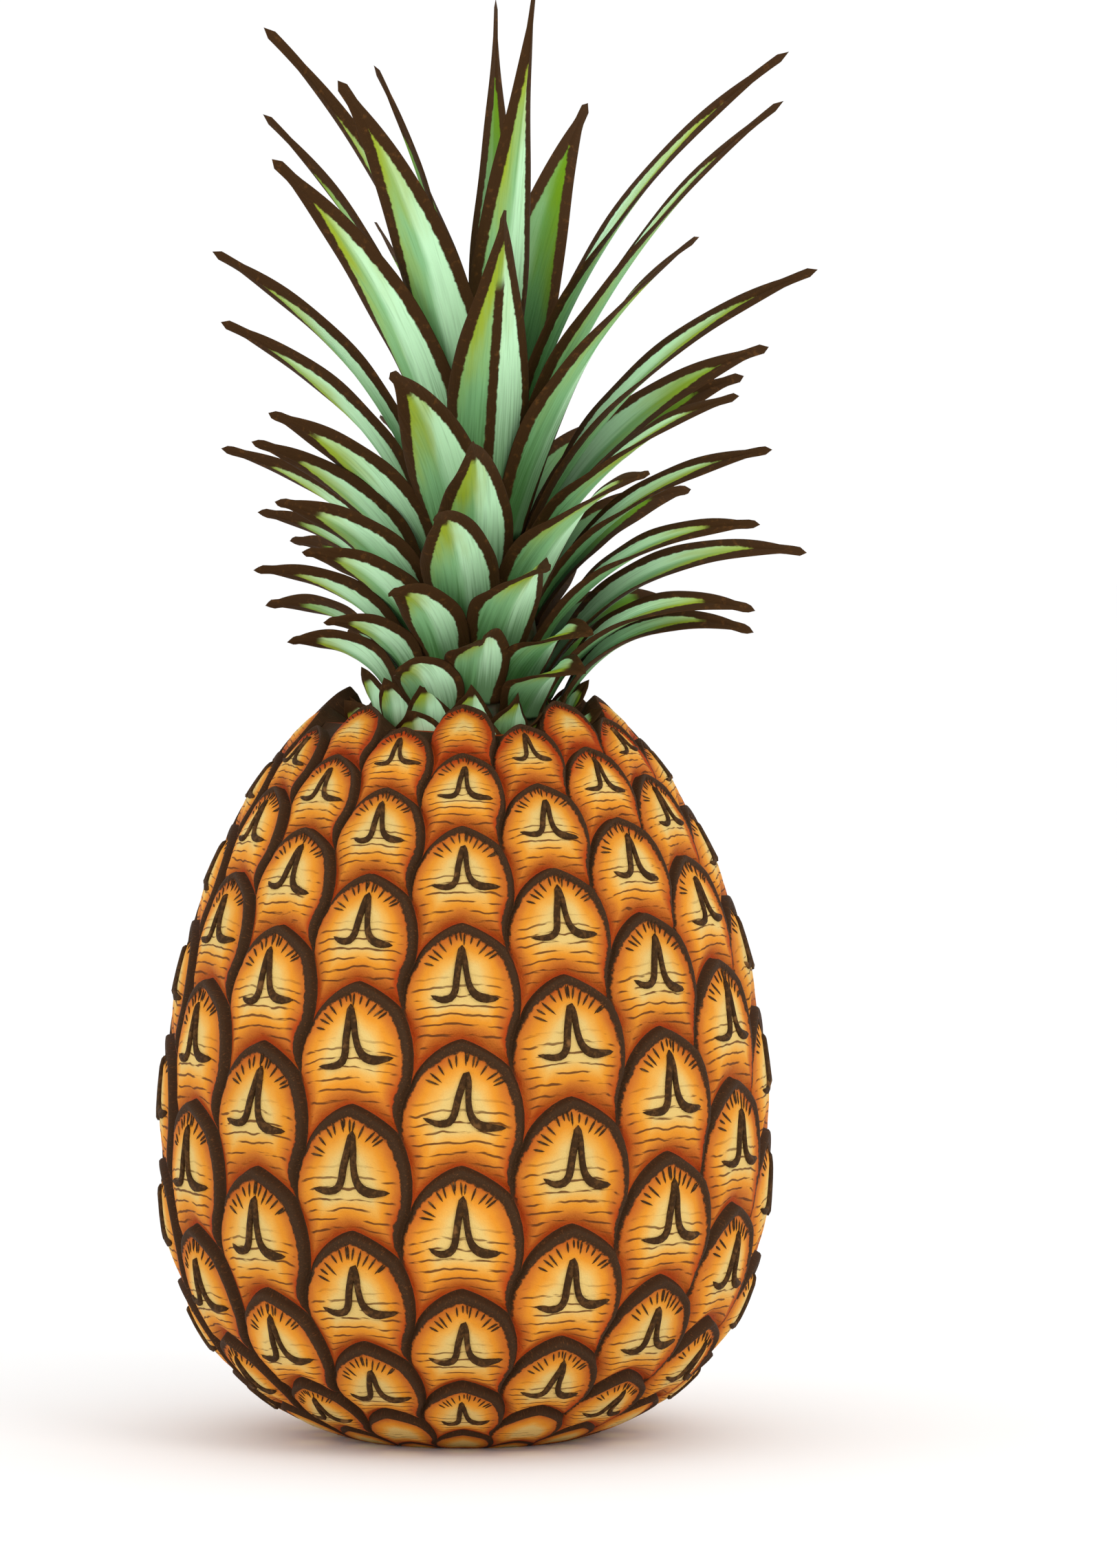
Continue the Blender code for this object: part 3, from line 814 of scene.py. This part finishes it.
def hair_strokes(dice):
    """Short hairs that stand inside the rim, from its left side to its right."""
    made = []
    heart = np.array(EYE_HEART)
    for share in np.linspace(*HAIR_SPAN, HAIR_COUNT) + dice.normal(0.0, 0.012, HAIR_COUNT):
        root = heart + (arch_outline(share) - heart) * HAIR_ROOT
        inward = (heart - root) / np.hypot(*(heart - root))
        length = HAIR_LENGTH + float(dice.normal(0.0, 0.020))
        end = root + inward * length + dice.normal(0.0, 0.008, 2)
        path = [root, (root + end) / 2.0, end]
        made.append(stroke(path, HAIR_WIDTHS, HAIR_HEIGHT, HAIR_STEPS, HAIR_SIDES))
    return made


dice = np.random.default_rng(STROKE_SEED)
bracts = [strokes_mesh("bract_%d" % i, bract_strokes(dice)) for i in range(VARIANTS)]
hairs = [strokes_mesh("hair_%d" % i, hair_strokes(dice)) for i in range(VARIANTS)]
print("faces of a bract and of a set of hairs:", len(bracts[0].data.polygons),
      len(hairs[0].data.polygons))

# %% [markdown]
# Setting them on the eyes
#
# One point per eye carries the eye's directions and size. A Geometry Nodes tree stands a variant on
# each point, makes it real, and drops every point of it onto the rind along the eye's normal.

# %% One point per eye
BRACTLESS_ROWS = 1.10            # rows below the top whose eyes have no bract
HAIRLESS_ROWS = 0.62
LOWEST_MARK = 0.006              # eyes whose middle is lower stay bare


def eye_points(top_rows):
    """One point per eye, with its normal, upward direction and size, up to some rows from the top."""
    azimuth, row = EYES * TURN, EYES / COLUMNS
    centre = skin_points(azimuth, row, np.ones(len(EYES)))
    above = skin_points(azimuth, row + SLOPE_STEP, np.ones(len(EYES)))
    below = skin_points(azimuth, row - SLOPE_STEP, np.ones(len(EYES)))
    upward = above - below
    upward /= np.linalg.norm(upward, axis=1)[:, None]
    across = np.stack([np.cos(azimuth), np.sin(azimuth), np.zeros(len(EYES))], axis=1)
    normal = np.cross(across, upward)
    size = np.interp(row, PROFILE_ROWS, PROFILE[:, 0]) * PITCH
    keep = (centre[:, 2] > LOWEST_MARK) & (row < PROFILE_ROWS[-1] - top_rows)
    mesh = bpy.data.meshes.new("eye_points")
    mesh.from_pydata(centre[keep].tolist(), [], [])
    for name, vectors in (("eye_normal", normal[keep]), ("eye_up", upward[keep])):
        layer = mesh.attributes.new(name, "FLOAT_VECTOR", "POINT")
        layer.data.foreach_set("vector", vectors.astype(np.float32).ravel())
    add_values(mesh, {"eye_size": size[keep]}, "POINT")
    return mesh


BRACT_POINTS = eye_points(BRACTLESS_ROWS)
HAIR_POINTS = eye_points(HAIRLESS_ROWS)
print("eyes with a bract and with hairs:", len(BRACT_POINTS.vertices), len(HAIR_POINTS.vertices))

# %% Helpers for shape trees


def named(tree, name, kind="FLOAT"):
    made = node(tree, "GeometryNodeInputNamedAttribute", {"Name": name}, data_type=kind)
    return made.outputs["Attribute"]


def vector_math(tree, operation, vector, other):
    """Add a vector to another, or scale it by a number."""
    socket = "Scale" if operation == "SCALE" else 1
    made = node(tree, "ShaderNodeVectorMath", {0: vector, socket: other}, operation=operation)
    return made.outputs[0]


def shape_tree(name, inputs):
    """An empty Geometry Nodes tree with named number inputs."""
    tree = bpy.data.node_groups.new(name, "GeometryNodeTree")
    tree.interface.new_socket(name="Geometry", in_out="INPUT", socket_type="NodeSocketGeometry")
    for label in inputs:
        tree.interface.new_socket(name=label, in_out="INPUT", socket_type="NodeSocketFloat")
    tree.interface.new_socket(name="Geometry", in_out="OUTPUT", socket_type="NodeSocketGeometry")
    source = tree.nodes.new("NodeGroupInput")
    result = tree.nodes.new("NodeGroupOutput")
    fields = {label: Field(tree, source.outputs[label]) for label in inputs}
    return tree, source.outputs["Geometry"], fields, result.inputs["Geometry"]


# %% The tree that sets variants on the eyes
MARK_TILT = 0.14                 # random turn of a mark, in radians, either way
RAY_START = 0.012                # above the eye's plane
RAY_LENGTH = 0.03


def dressing_tree(name, variants, look, seed):
    """Stand one of the variants on each eye and lay it on the rind."""
    tree, points, inputs, result = shape_tree(name, ["Lift"])
    group = bpy.data.collections.new(name)
    for variant in variants:
        group.objects.link(variant)
    choice = node(tree, "GeometryNodeCollectionInfo",
                  {"Collection": group, "Separate Children": True, "Reset Children": True})
    normal = named(tree, "eye_normal", "FLOAT_VECTOR")
    size = Field(tree, named(tree, "eye_size"))
    turn = node(tree, "FunctionNodeAxesToRotation",
                {"Primary Axis": normal, "Secondary Axis": named(tree, "eye_up", "FLOAT_VECTOR")},
                primary_axis="Z", secondary_axis="Y")
    tilt = node(tree, "FunctionNodeRandomValue", {2: -MARK_TILT, 3: MARK_TILT, "Seed": seed + 1})
    spin = node(tree, "FunctionNodeAxisAngleToRotation", {"Axis": (0.0, 0.0, 1.0),
                                                          "Angle": tilt.outputs[1]})
    turn = node(tree, "FunctionNodeRotateRotation", {0: turn.outputs[0], 1: spin.outputs[0]},
                rotation_space="LOCAL")
    pick = node(tree, "FunctionNodeRandomValue", data_type="INT")
    for socket, value in ((4, 0), (5, len(variants) - 1), ("Seed", seed)):
        pick.inputs[socket].default_value = value
    stand = node(tree, "GeometryNodeInstanceOnPoints",
                 {"Points": points, "Instance": choice.outputs[0], "Pick Instance": True,
                  "Instance Index": pick.outputs[2], "Rotation": turn.outputs[0],
                  "Scale": combine(tree, size, size * ROW_STRETCH, size)})
    real = node(tree, "GeometryNodeRealizeInstances", {"Geometry": stand.outputs[0]})
    rind = node(tree, "GeometryNodeObjectInfo", {"Object": fruit_skin})
    here = node(tree, "GeometryNodeInputPosition").outputs[0]
    start = vector_math(tree, "ADD", here, vector_math(tree, "SCALE", normal, RAY_START))
    ray = node(tree, "GeometryNodeRaycast",
               {"Target Geometry": rind.outputs["Geometry"], "Source Position": start,
                "Ray Direction": vector_math(tree, "SCALE", normal, -1.0), "Ray Length": RAY_LENGTH})
    high = Field(tree, named(tree, "high")) * size + inputs["Lift"]
    place = vector_math(tree, "ADD", ray.outputs["Hit Position"],
                        vector_math(tree, "SCALE", normal, high))
    laid = node(tree, "GeometryNodeSetPosition",
                {"Geometry": real.outputs[0], "Selection": ray.outputs["Is Hit"], "Position": place})
    done = node(tree, "GeometryNodeSetMaterial", {"Geometry": laid.outputs[0], "Material": look})
    plug(tree, done.outputs[0], result)
    return tree


# %% Running a tree


def set_inputs(modifier, values):
    """Give a modifier its inputs by the names its tree shows."""
    for item in modifier.node_group.interface.items_tree:
        if item.in_out == "INPUT" and item.name in values:
            modifier[item.identifier] = values[item.name]


def grown(name, mesh, tree, values):
    """Run a tree on a mesh and keep the result as a plain piece."""
    seedling = add_piece(name, mesh)
    modifier = seedling.modifiers.new("growth", "NODES")
    modifier.node_group = tree
    set_inputs(modifier, values)
    depsgraph = bpy.context.evaluated_depsgraph_get()
    result = bpy.data.meshes.new_from_object(seedling.evaluated_get(depsgraph))
    seedling.modifiers.remove(modifier)
    seedling.data = result
    result.name = name
    result.shade_smooth()
    return seedling


# %% Dry brown material, and the bracts and hairs on the rind
BRACT_SEED = 3
HAIR_SEED = 5
BRACT_LIFT = 0.0001              # over the rind


def make_dry_look():
    look, tree, shader = new_look("dry_bract", 0.8, 0.12)
    spot = object_place(tree)
    grain = noise(tree, spot, 900.0, 3.0, 0.65)
    patch = noise(tree, spot, 260.0, 2.0)
    colour = mix(tree, grain.ease(0.45, 0.66), "38240F", "54381B")
    colour = mix(tree, patch.ease(0.62, 0.76) * 0.6, colour, "94683A")
    coat(tree, shader, colour, grain, 0.0006, 0.6)
    return look


DRY = make_dry_look()
BRACT_TREE = dressing_tree("Bracts", bracts, DRY, BRACT_SEED)
HAIR_TREE = dressing_tree("Hairs", hairs, DRY, HAIR_SEED)
print("nodes in the bracts' tree:", len(BRACT_TREE.nodes))
eye_bracts = grown("eye_bracts", BRACT_POINTS, BRACT_TREE, {"Lift": BRACT_LIFT})
eye_hairs = grown("eye_hairs", HAIR_POINTS, HAIR_TREE, {"Lift": 0.0})
for piece in (eye_bracts, eye_hairs):
    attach(piece, "root")
    print(piece.name, len(piece.data.polygons), "faces")
for variant in bracts + hairs:
    bpy.data.objects.remove(variant)

# %% [markdown]
# The crown's blades
#
# The crown is a short leafy shoot. Its leaves stand on a stem in one tight spiral: short outer ones
# that bend out and down over the shoulder, and long inner ones that stand nearly upright. Each blade
# clasps the stem at its foot, opens into a shallow channel, turns slowly about its own rib and tapers
# to a point. One Geometry Nodes tree draws any blade from its sizes.

# %% The crown's rule and its leaves
STEM_RADIUS = 0.0170
STEM_TIP_RADIUS = 0.0016
STEM_HEIGHT = 0.0720
LEAF_THICKNESS = 0.0010
LEAF_THINNING = (6.0, 0.9)       # how late a blade thins, and by what share
LEAF_OPENNESS = 0.62             # radius of the open channel over the leaf's width
LEAF_OPENS_AT = 0.55             # share of the length from which the channel is fully open
LEAF_TWIST = 60.0                # degrees at the tip
LEAF_TWIST_EASE = 1.5
LEAF_BASE_WIDTH = 0.56           # of the full width
LEAF_WIDEST = 0.40               # share of the length
LEAF_TAPER = (1.5, 1.0)          # powers of the taper's curve
LEAF_POINT = (0.0024, 1.5)       # width of the dry point, and how steeply it closes
LEAF_RIPPLE = 0.0003
RIPPLE_WAVES = (21.0, 40.0, 1.5)  # radians along the blade, for its random start, and across it
LEAF_KEEL = 0.0004
# Painted shade on the leaves at the back: they are painted darker and stronger in colour.
BACK_SHADE = 0.75                # leaves at the back are darker and stronger in colour
BACK_STARTS = (95.0, 125.0)      # degrees from the front
BLADE_AROUND = 24
BLADE_ALONG = 44
WELD = 0.000002

# Rank, height of the foot on the stem, lean at the foot and at the tip in degrees, width.
CROWN_RULE = np.array([
    (0.00, 0.0014, 14.0, 110.0, 0.0205),
    (0.15, 0.0070, 23.0, 105.0, 0.0215),
    (0.30, 0.0135, 28.0, 96.0, 0.0220),
    (0.52, 0.0250, 27.0, 80.0, 0.0225),
    (0.70, 0.0350, 21.0, 72.0, 0.0255),
    (0.79, 0.0410, 16.0, 64.0, 0.0250),
    (0.87, 0.0475, 11.0, 52.0, 0.0225),
    (0.94, 0.0560, 7.0, 54.0, 0.0205),
    (1.00, 0.0650, 3.0, 10.0, 0.0180),
])

# Direction in degrees from the front, length and width factor, from the outermost leaf inwards.
LEAVES = (
    (-26, 0.026, 0.96), (88, 0.052, 0.85), (-140, 0.034, 0.79), (38, 0.026, 1.00),
    (-76, 0.030, 0.87), (137, 0.034, 0.85), (180, 0.034, 0.90), (2, 0.033, 0.89),
    (-112, 0.040, 0.85), (80, 0.052, 0.85), (-146, 0.040, 0.90), (-52, 0.030, 0.71),
    (37, 0.030, 0.96), (125, 0.042, 0.90), (-22, 0.041, 0.82), (100, 0.066, 0.85),
    (-72, 0.042, 0.72), (15, 0.050, 1.00), (-130, 0.048, 0.90), (155, 0.046, 1.00),
    (-51, 0.041, 0.85), (-9, 0.058, 1.00), (75, 0.057, 0.85), (-108, 0.046, 0.85),
    (-54, 0.050, 0.90), (180, 0.052, 1.00), (130, 0.056, 0.90), (34, 0.061, 1.00),
    (-99, 0.057, 0.77), (-3, 0.063, 1.00), (80, 0.063, 0.80), (-70, 0.053, 0.76),
    (-155, 0.060, 1.00), (150, 0.062, 1.00), (-60, 0.056, 0.81), (58, 0.068, 0.85),
    (-20, 0.067, 0.93), (117, 0.069, 0.85), (-128, 0.064, 0.76), (110, 0.074, 0.80),
    (-90, 0.069, 0.75), (180, 0.070, 1.00), (84, 0.088, 0.75), (-96, 0.080, 0.75),
    (40, 0.088, 0.70), (1, 0.088, 1.00), (-150, 0.080, 0.90), (-55, 0.090, 0.90),
    (62, 0.108, 0.85), (-112, 0.095, 0.80), (-37, 0.100, 1.00), (162, 0.098, 1.00),
    (76, 0.109, 0.88), (-82, 0.102, 0.70), (-125, 0.086, 0.90), (10, 0.097, 1.00),
    (-165, 0.090, 1.00),
)


def crown_value(column, rank):
    """A value of the crown's rule at a rank from 0, outermost, to 1, innermost."""
    return float(np.interp(rank, CROWN_RULE[:, 0], CROWN_RULE[:, column]))


print("leaves:", len(LEAVES))

# %% The blade tree
BLADE_INPUTS = ["Foot Radius", "Foot Height", "Start Lean", "Bend", "Length", "Width", "Azimuth",
                "Openness", "Thickness", "Twist", "Ripple", "Keel", "Tone", "Shade", "Rib"]


def blade_tree(look):
    """Draw one blade: a closed section carried along a bent rib."""
    tree, _, inputs, result = shape_tree("Blade", BLADE_INPUTS)
    grid = node(tree, "GeometryNodeMeshGrid",
                {"Size X": 1.0, "Size Y": 1.0, "Vertices X": BLADE_AROUND + 1,
                 "Vertices Y": BLADE_ALONG + 2})
    split = node(tree, "ShaderNodeSeparateXYZ",
                 {0: node(tree, "GeometryNodeInputPosition").outputs[0]})
    turn = (Field(tree, split.outputs[0]) + 0.5) * (2.0 * math.pi)
    step = (Field(tree, split.outputs[1]) + 0.5) * (BLADE_ALONG + 1.0)
    share = (step - 1.0).math("MAXIMUM", 0.0) / float(BLADE_ALONG)
    solid = step.math("MINIMUM", 1.0)
    across = turn.math("COSINE") * solid * -1.0
    side = turn.math("SINE") * solid

    foot = share.ease(0.0, LEAF_WIDEST, LEAF_BASE_WIDTH, 1.0)
    taper = (share ** LEAF_TAPER[0] * -1.0 + 1.0).math("MAXIMUM", 0.0) ** LEAF_TAPER[1]
    to_tip = (share * -1.0 + 1.0) * inputs["Length"]
    point = (to_tip * LEAF_POINT[1]).math("MINIMUM", LEAF_POINT[0]) * 0.5
    half = (inputs["Width"] * foot * taper * 0.5).math("MAXIMUM", point)
    lean = inputs["Start Lean"] + inputs["Bend"] * share
    scale = inputs["Length"] / inputs["Bend"]
    out = inputs["Foot Radius"] + scale * (inputs["Start Lean"].math("COSINE") - lean.math("COSINE"))
    height = inputs["Foot Height"] + scale * (lean.math("SINE") - inputs["Start Lean"].math("SINE"))

    opened = share.ease(0.0, LEAF_OPENS_AT)
    channel = inputs["Foot Radius"] + (inputs["Openness"] * inputs["Width"]
                                       - inputs["Foot Radius"]) * opened
    angle = across * half / channel
    edge = across.math("ABSOLUTE")
    body = side * inputs["Thickness"] * 0.5 * (share ** LEAF_THINNING[0] * -LEAF_THINNING[1] + 1.0)
    keel = edge.ease(0.22, 0.0) * inputs["Keel"] * share.ease(0.05, 0.25) * share.ease(1.0, 0.85)
    lengthwise, start, sideways = RIPPLE_WAVES
    wave = (share * lengthwise + inputs["Tone"] * start + across * sideways).math("SINE")
    inward = channel * (angle.math("COSINE") * -1.0 + 1.0) - body - keel
    inward = inward + wave * inputs["Ripple"] * edge ** 2.0 * share.ease(0.1, 0.5) * half * 100.0
    along = channel * angle.math("SINE")
    twist = inputs["Twist"] * share ** LEAF_TWIST_EASE
    cos, sin = twist.math("COSINE"), twist.math("SINE")
    turned_in = inward * cos + along * sin
    turned_along = along * cos - inward * sin
    out = out - turned_in * lean.math("COSINE")
    height = height + turned_in * lean.math("SINE")
    facing = inputs["Azimuth"]
    x = out * facing.math("SINE") + turned_along * facing.math("COSINE")
    y = turned_along * facing.math("SINE") - out * facing.math("COSINE")

    geometry = node(tree, "GeometryNodeRealizeInstances", {"Geometry": grid.outputs["Mesh"]})
    values = {"share": share, "across": across, "half": half,
              "along": share * inputs["Length"], "to_tip": to_tip,
              "tone": inputs["Tone"], "shade": inputs["Shade"], "rib": inputs["Rib"]}
    for name, value in values.items():
        geometry = node(tree, "GeometryNodeStoreNamedAttribute",
                        {"Geometry": geometry.outputs[0], "Name": name, "Value": value},
                        data_type="FLOAT", domain="POINT")
    shaped = node(tree, "GeometryNodeSetPosition",
                  {"Geometry": geometry.outputs[0], "Position": combine(tree, x, y, height)})
    joined = node(tree, "GeometryNodeMergeByDistance",
                  {"Geometry": shaped.outputs[0], "Distance": WELD})
    done = node(tree, "GeometryNodeSetMaterial", {"Geometry": joined.outputs[0], "Material": look})
    plug(tree, done.outputs[0], result)
    return tree


# %% [markdown]
# The leaves' colours
#
# The two halves of a blade differ: one is sage, the other a lighter pale mint that is a painted
# highlight, and they meet at the rib. The foot is painted dark green as shade, the tip turns olive, and
# a dry brown margin runs along both edges and closes in a brown point. Fine lines run lengthwise. The
# leaves at the back are painted in shade, a darker and stronger green.

# %% Leaf material
MARGIN_BAND = (2.6, 2.2)         # mm from the edge, between which brown gives way to green
POINT_BAND = (12.0, 8.0)         # mm from the tip, the same
SMALL_LEAF = (14.0, 36.0)        # mm, lengths over which both bands grow from half to full
RIB_BAND = (1.3, 0.9)            # mm from the middle


def make_leaf_look():
    look, tree, shader = new_look("crown_leaf", 0.7, 0.06)
    share, across = attribute(tree, "share"), attribute(tree, "across")
    half, along = attribute(tree, "half") / MM, attribute(tree, "along") / MM
    tip, tone, shade = attribute(tree, "to_tip") / MM, attribute(tree, "tone"), attribute(tree, "shade")
    wide = across * half
    fibre = noise(tree, combine(tree, wide * 2.2, along * 0.05, tone * 30.0), 1.0, 2.0)
    wash = noise(tree, combine(tree, wide, along * 0.15, tone * 30.0), 0.30, 2.0)
    rough = noise(tree, combine(tree, wide, along, tone * 30.0), 0.6, 3.0, 0.6)

    # Painted highlight: one half of the blade is lighter pale mint, the other stays sage.
    highlight_side = across + (wash - 0.5) * 0.5
    colour = mix(tree, highlight_side.ease(-0.12, 0.16), "8FC68D", "CDFACD")
    olive = (share + (wash - 0.5) * 0.6 - across * 0.25).ease(0.40, 0.86)
    colour = mix(tree, olive * 0.95, colour, "9FB024")
    # Painted shade: the blade darkens to deep green towards its foot.
    foot = (share + (fibre - 0.5) * 0.35).ease(0.52, 0.08)
    colour = mix(tree, foot * 0.85, colour, "366123")
    colour = mix(tree, fibre.ease(0.52, 0.70) * 0.25, colour, "5B8F4C")
    # Painted shade on the leaves at the back: deep green, darkest towards the foot.
    colour = mix(tree, shade, colour, mix(tree, share.ease(0.25, 0.85), "063A02", "4F8903"))

    small = (along + tip).ease(*SMALL_LEAF, 2.0, 1.0)
    margin = (across.math("ABSOLUTE") * -1.0 + 1.0) * half * small
    line = (margin + (rough - 0.5) * 0.9).ease(*MARGIN_BAND)
    point = (tip * small + (rough - 0.5) * 4.0 - share * 3.0).ease(*POINT_BAND)
    point = point * share.ease(0.72, 0.80)
    rib = (wide.math("ABSOLUTE") + (rough - 0.5) * 0.8).ease(*RIB_BAND) * share.ease(0.74, 0.68)
    line = line.math("MAXIMUM", rib * attribute(tree, "rib"))
    brown = mix(tree, rough.ease(0.55, 0.75), "3F2914", "5A3A1B")
    colour = mix(tree, line.math("MAXIMUM", point), colour, brown)
    coat(tree, shader, colour, fibre * 0.9 + rough * 0.1, 0.0006, 0.35)
    return look


LEAF_LOOK = make_leaf_look()
BLADE = blade_tree(LEAF_LOOK)
print("nodes in the blade tree:", len(BLADE.nodes))

# %% Growing the crown
RIBBED_LEAF = 45                 # the broad front leaf with a dry brown rib


def blade_values(index):
    """Inputs of the blade tree for one leaf."""
    azimuth, length, factor = LEAVES[index]
    rank = index / (len(LEAVES) - 1)
    foot = crown_value(1, rank)
    start, end = math.radians(crown_value(2, rank)), math.radians(crown_value(3, rank))
    stem = STEM_RADIUS + (STEM_TIP_RADIUS - STEM_RADIUS) * foot / STEM_HEIGHT
    dice = random.Random(index)
    return {"Foot Radius": stem + FIT_GAP + LEAF_THICKNESS / 2.0, "Foot Height": foot,
            "Start Lean": start, "Bend": end - start, "Length": length,
            "Width": crown_value(4, rank) * factor, "Azimuth": math.radians(azimuth),
            "Openness": LEAF_OPENNESS, "Thickness": LEAF_THICKNESS,
            "Twist": math.radians(LEAF_TWIST), "Ripple": LEAF_RIPPLE, "Keel": LEAF_KEEL,
            "Tone": dice.random(), "Rib": 1.0 if index == RIBBED_LEAF else 0.0,
            "Shade": BACK_SHADE * float(between(abs(azimuth), *BACK_STARTS))}


def grow_blade(name, values):
    return grown(name, bpy.data.meshes.new("seed"), BLADE, values)


blades = []
for index in range(len(LEAVES)):
    blade = grow_blade("blade_%02d" % (index + 1), blade_values(index))
    blade.data.transform(CROWN)
    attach(blade, "root")
    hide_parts("leaf_%02d" % (index + 1))
    blades.append(blade)
print("blades:", len(blades), "with", sum(len(b.data.polygons) for b in blades), "faces")

# %% [markdown]
# Bracts at the crown's foot
#
# Between the topmost eyes and the first real leaves stand short green bracts. They are the same blade,
# only short and broad, so the same tree draws them. The outer ring fills the hollow between the collar
# and the stem, and the inner ring stands upright against the leaves.

# %% Two rings of short bracts
COLLAR_SEED = 21
UNEVEN = 0.15                    # random share of a bract's length and of the gap between bracts

# Count, length, width, distance from the stem, foot height, first lean and last lean in degrees.
BRACT_RINGS = [(11, 0.0138, 0.0175, 0.0050, -0.0060, 14.0, 52.0),
               (13, 0.0125, 0.0135, 0.0024, -0.0015, 6.0, 34.0)]


def grow_collar_bracts():
    dice = random.Random(COLLAR_SEED)
    made = []
    for count, length, width, out, foot, lean, last_lean in BRACT_RINGS:
        for index in range(count):
            values = {**blade_values(0), "Foot Radius": STEM_RADIUS + out, "Foot Height": foot,
                      "Start Lean": math.radians(lean), "Bend": math.radians(last_lean - lean),
                      "Length": length * dice.uniform(1.0 - UNEVEN, 1.0 + UNEVEN), "Width": width,
                      "Azimuth": 2.0 * math.pi * (index + dice.uniform(-UNEVEN, UNEVEN)) / count,
                      "Tone": dice.random(), "Shade": 0.0}
            made.append(grow_blade("bract", values))
    joined = bmesh.new()
    for item in made:
        joined.from_mesh(item.data)
        bpy.data.objects.remove(item)
    data = bpy.data.meshes.new("collar_bracts")
    joined.to_mesh(data)
    joined.free()
    data.materials.append(LEAF_LOOK)
    data.transform(CROWN)
    data.shade_smooth()
    return add_piece("collar_bracts", data)


collar_bracts = grow_collar_bracts()
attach(collar_bracts, "root")
print("collar bracts:", sum(ring[0] for ring in BRACT_RINGS), "with",
      len(collar_bracts.data.polygons), "faces")

# %% [markdown]
# Stem and stalk
#
# The crown's stem is a dark brownish green, darkened as painted shade in the gaps between the leaves,
# and is hidden in the leaves. The stalk was cut level with the foot: its face is dry, pale and fibrous,
# with a darker bark round it. Both keep their plain solids and get a finish.

# %% Stem and stalk materials
BARK_RING = (0.0085, 0.0105)     # radii between which the cut face turns to bark


def make_stem_look():
    look, tree, shader = new_look("crown_stem", 0.6)
    spot = object_place(tree)
    grain = noise(tree, spot, 420.0, 3.0, 0.6)
    # Dark green and brown, partly the stem's colour and partly painted shade between the leaves' feet.
    colour = mix(tree, grain.ease(0.35, 0.65), "26401A", "4A3A1C")
    coat(tree, shader, colour, grain, 0.0005, 0.5)
    return look


def make_stalk_look():
    look, tree, shader = new_look("cut_stalk", 0.8, 0.2)
    spot = object_place(tree)
    parts = node(tree, "ShaderNodeSeparateXYZ", {0: spot})
    radius = (Field(tree, parts.outputs[0]) ** 2.0 + Field(tree, parts.outputs[1]) ** 2.0) ** 0.5
    fibre = noise(tree, spot, 1500.0, 2.0, 0.6)
    colour = mix(tree, fibre.ease(0.40, 0.62), "B08A4E", "D8C38C")
    colour = mix(tree, radius.ease(*BARK_RING), colour, "5C3A1C")
    coat(tree, shader, colour, fibre, 0.0008, 0.7)
    return look


for node_name, look in (("crown_stem", make_stem_look()), ("stalk_stub", make_stalk_look())):
    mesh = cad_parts[node_name].data
    mesh.materials.clear()
    mesh.materials.append(look)
    print(node_name, "takes", look.name)

# %% [markdown]
# Last look at the sizes
#
# The finished pieces should fill the frame's own box, give or take the thickness of a leaf.

# %% Sizes and finish
for piece, source in ((fruit_skin, "fruit"), (blades[0], "leaf_01"), (blades[-1], "leaf_57")):
    low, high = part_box(source)
    points = np.array([v.co for v in piece.data.vertices])
    print(piece.name, "off its solid by",
          (np.abs(np.array([points.min(0) - low, points.max(0) - high])).max() / MM).round(2), "mm")
bpy.context.view_layer.update()
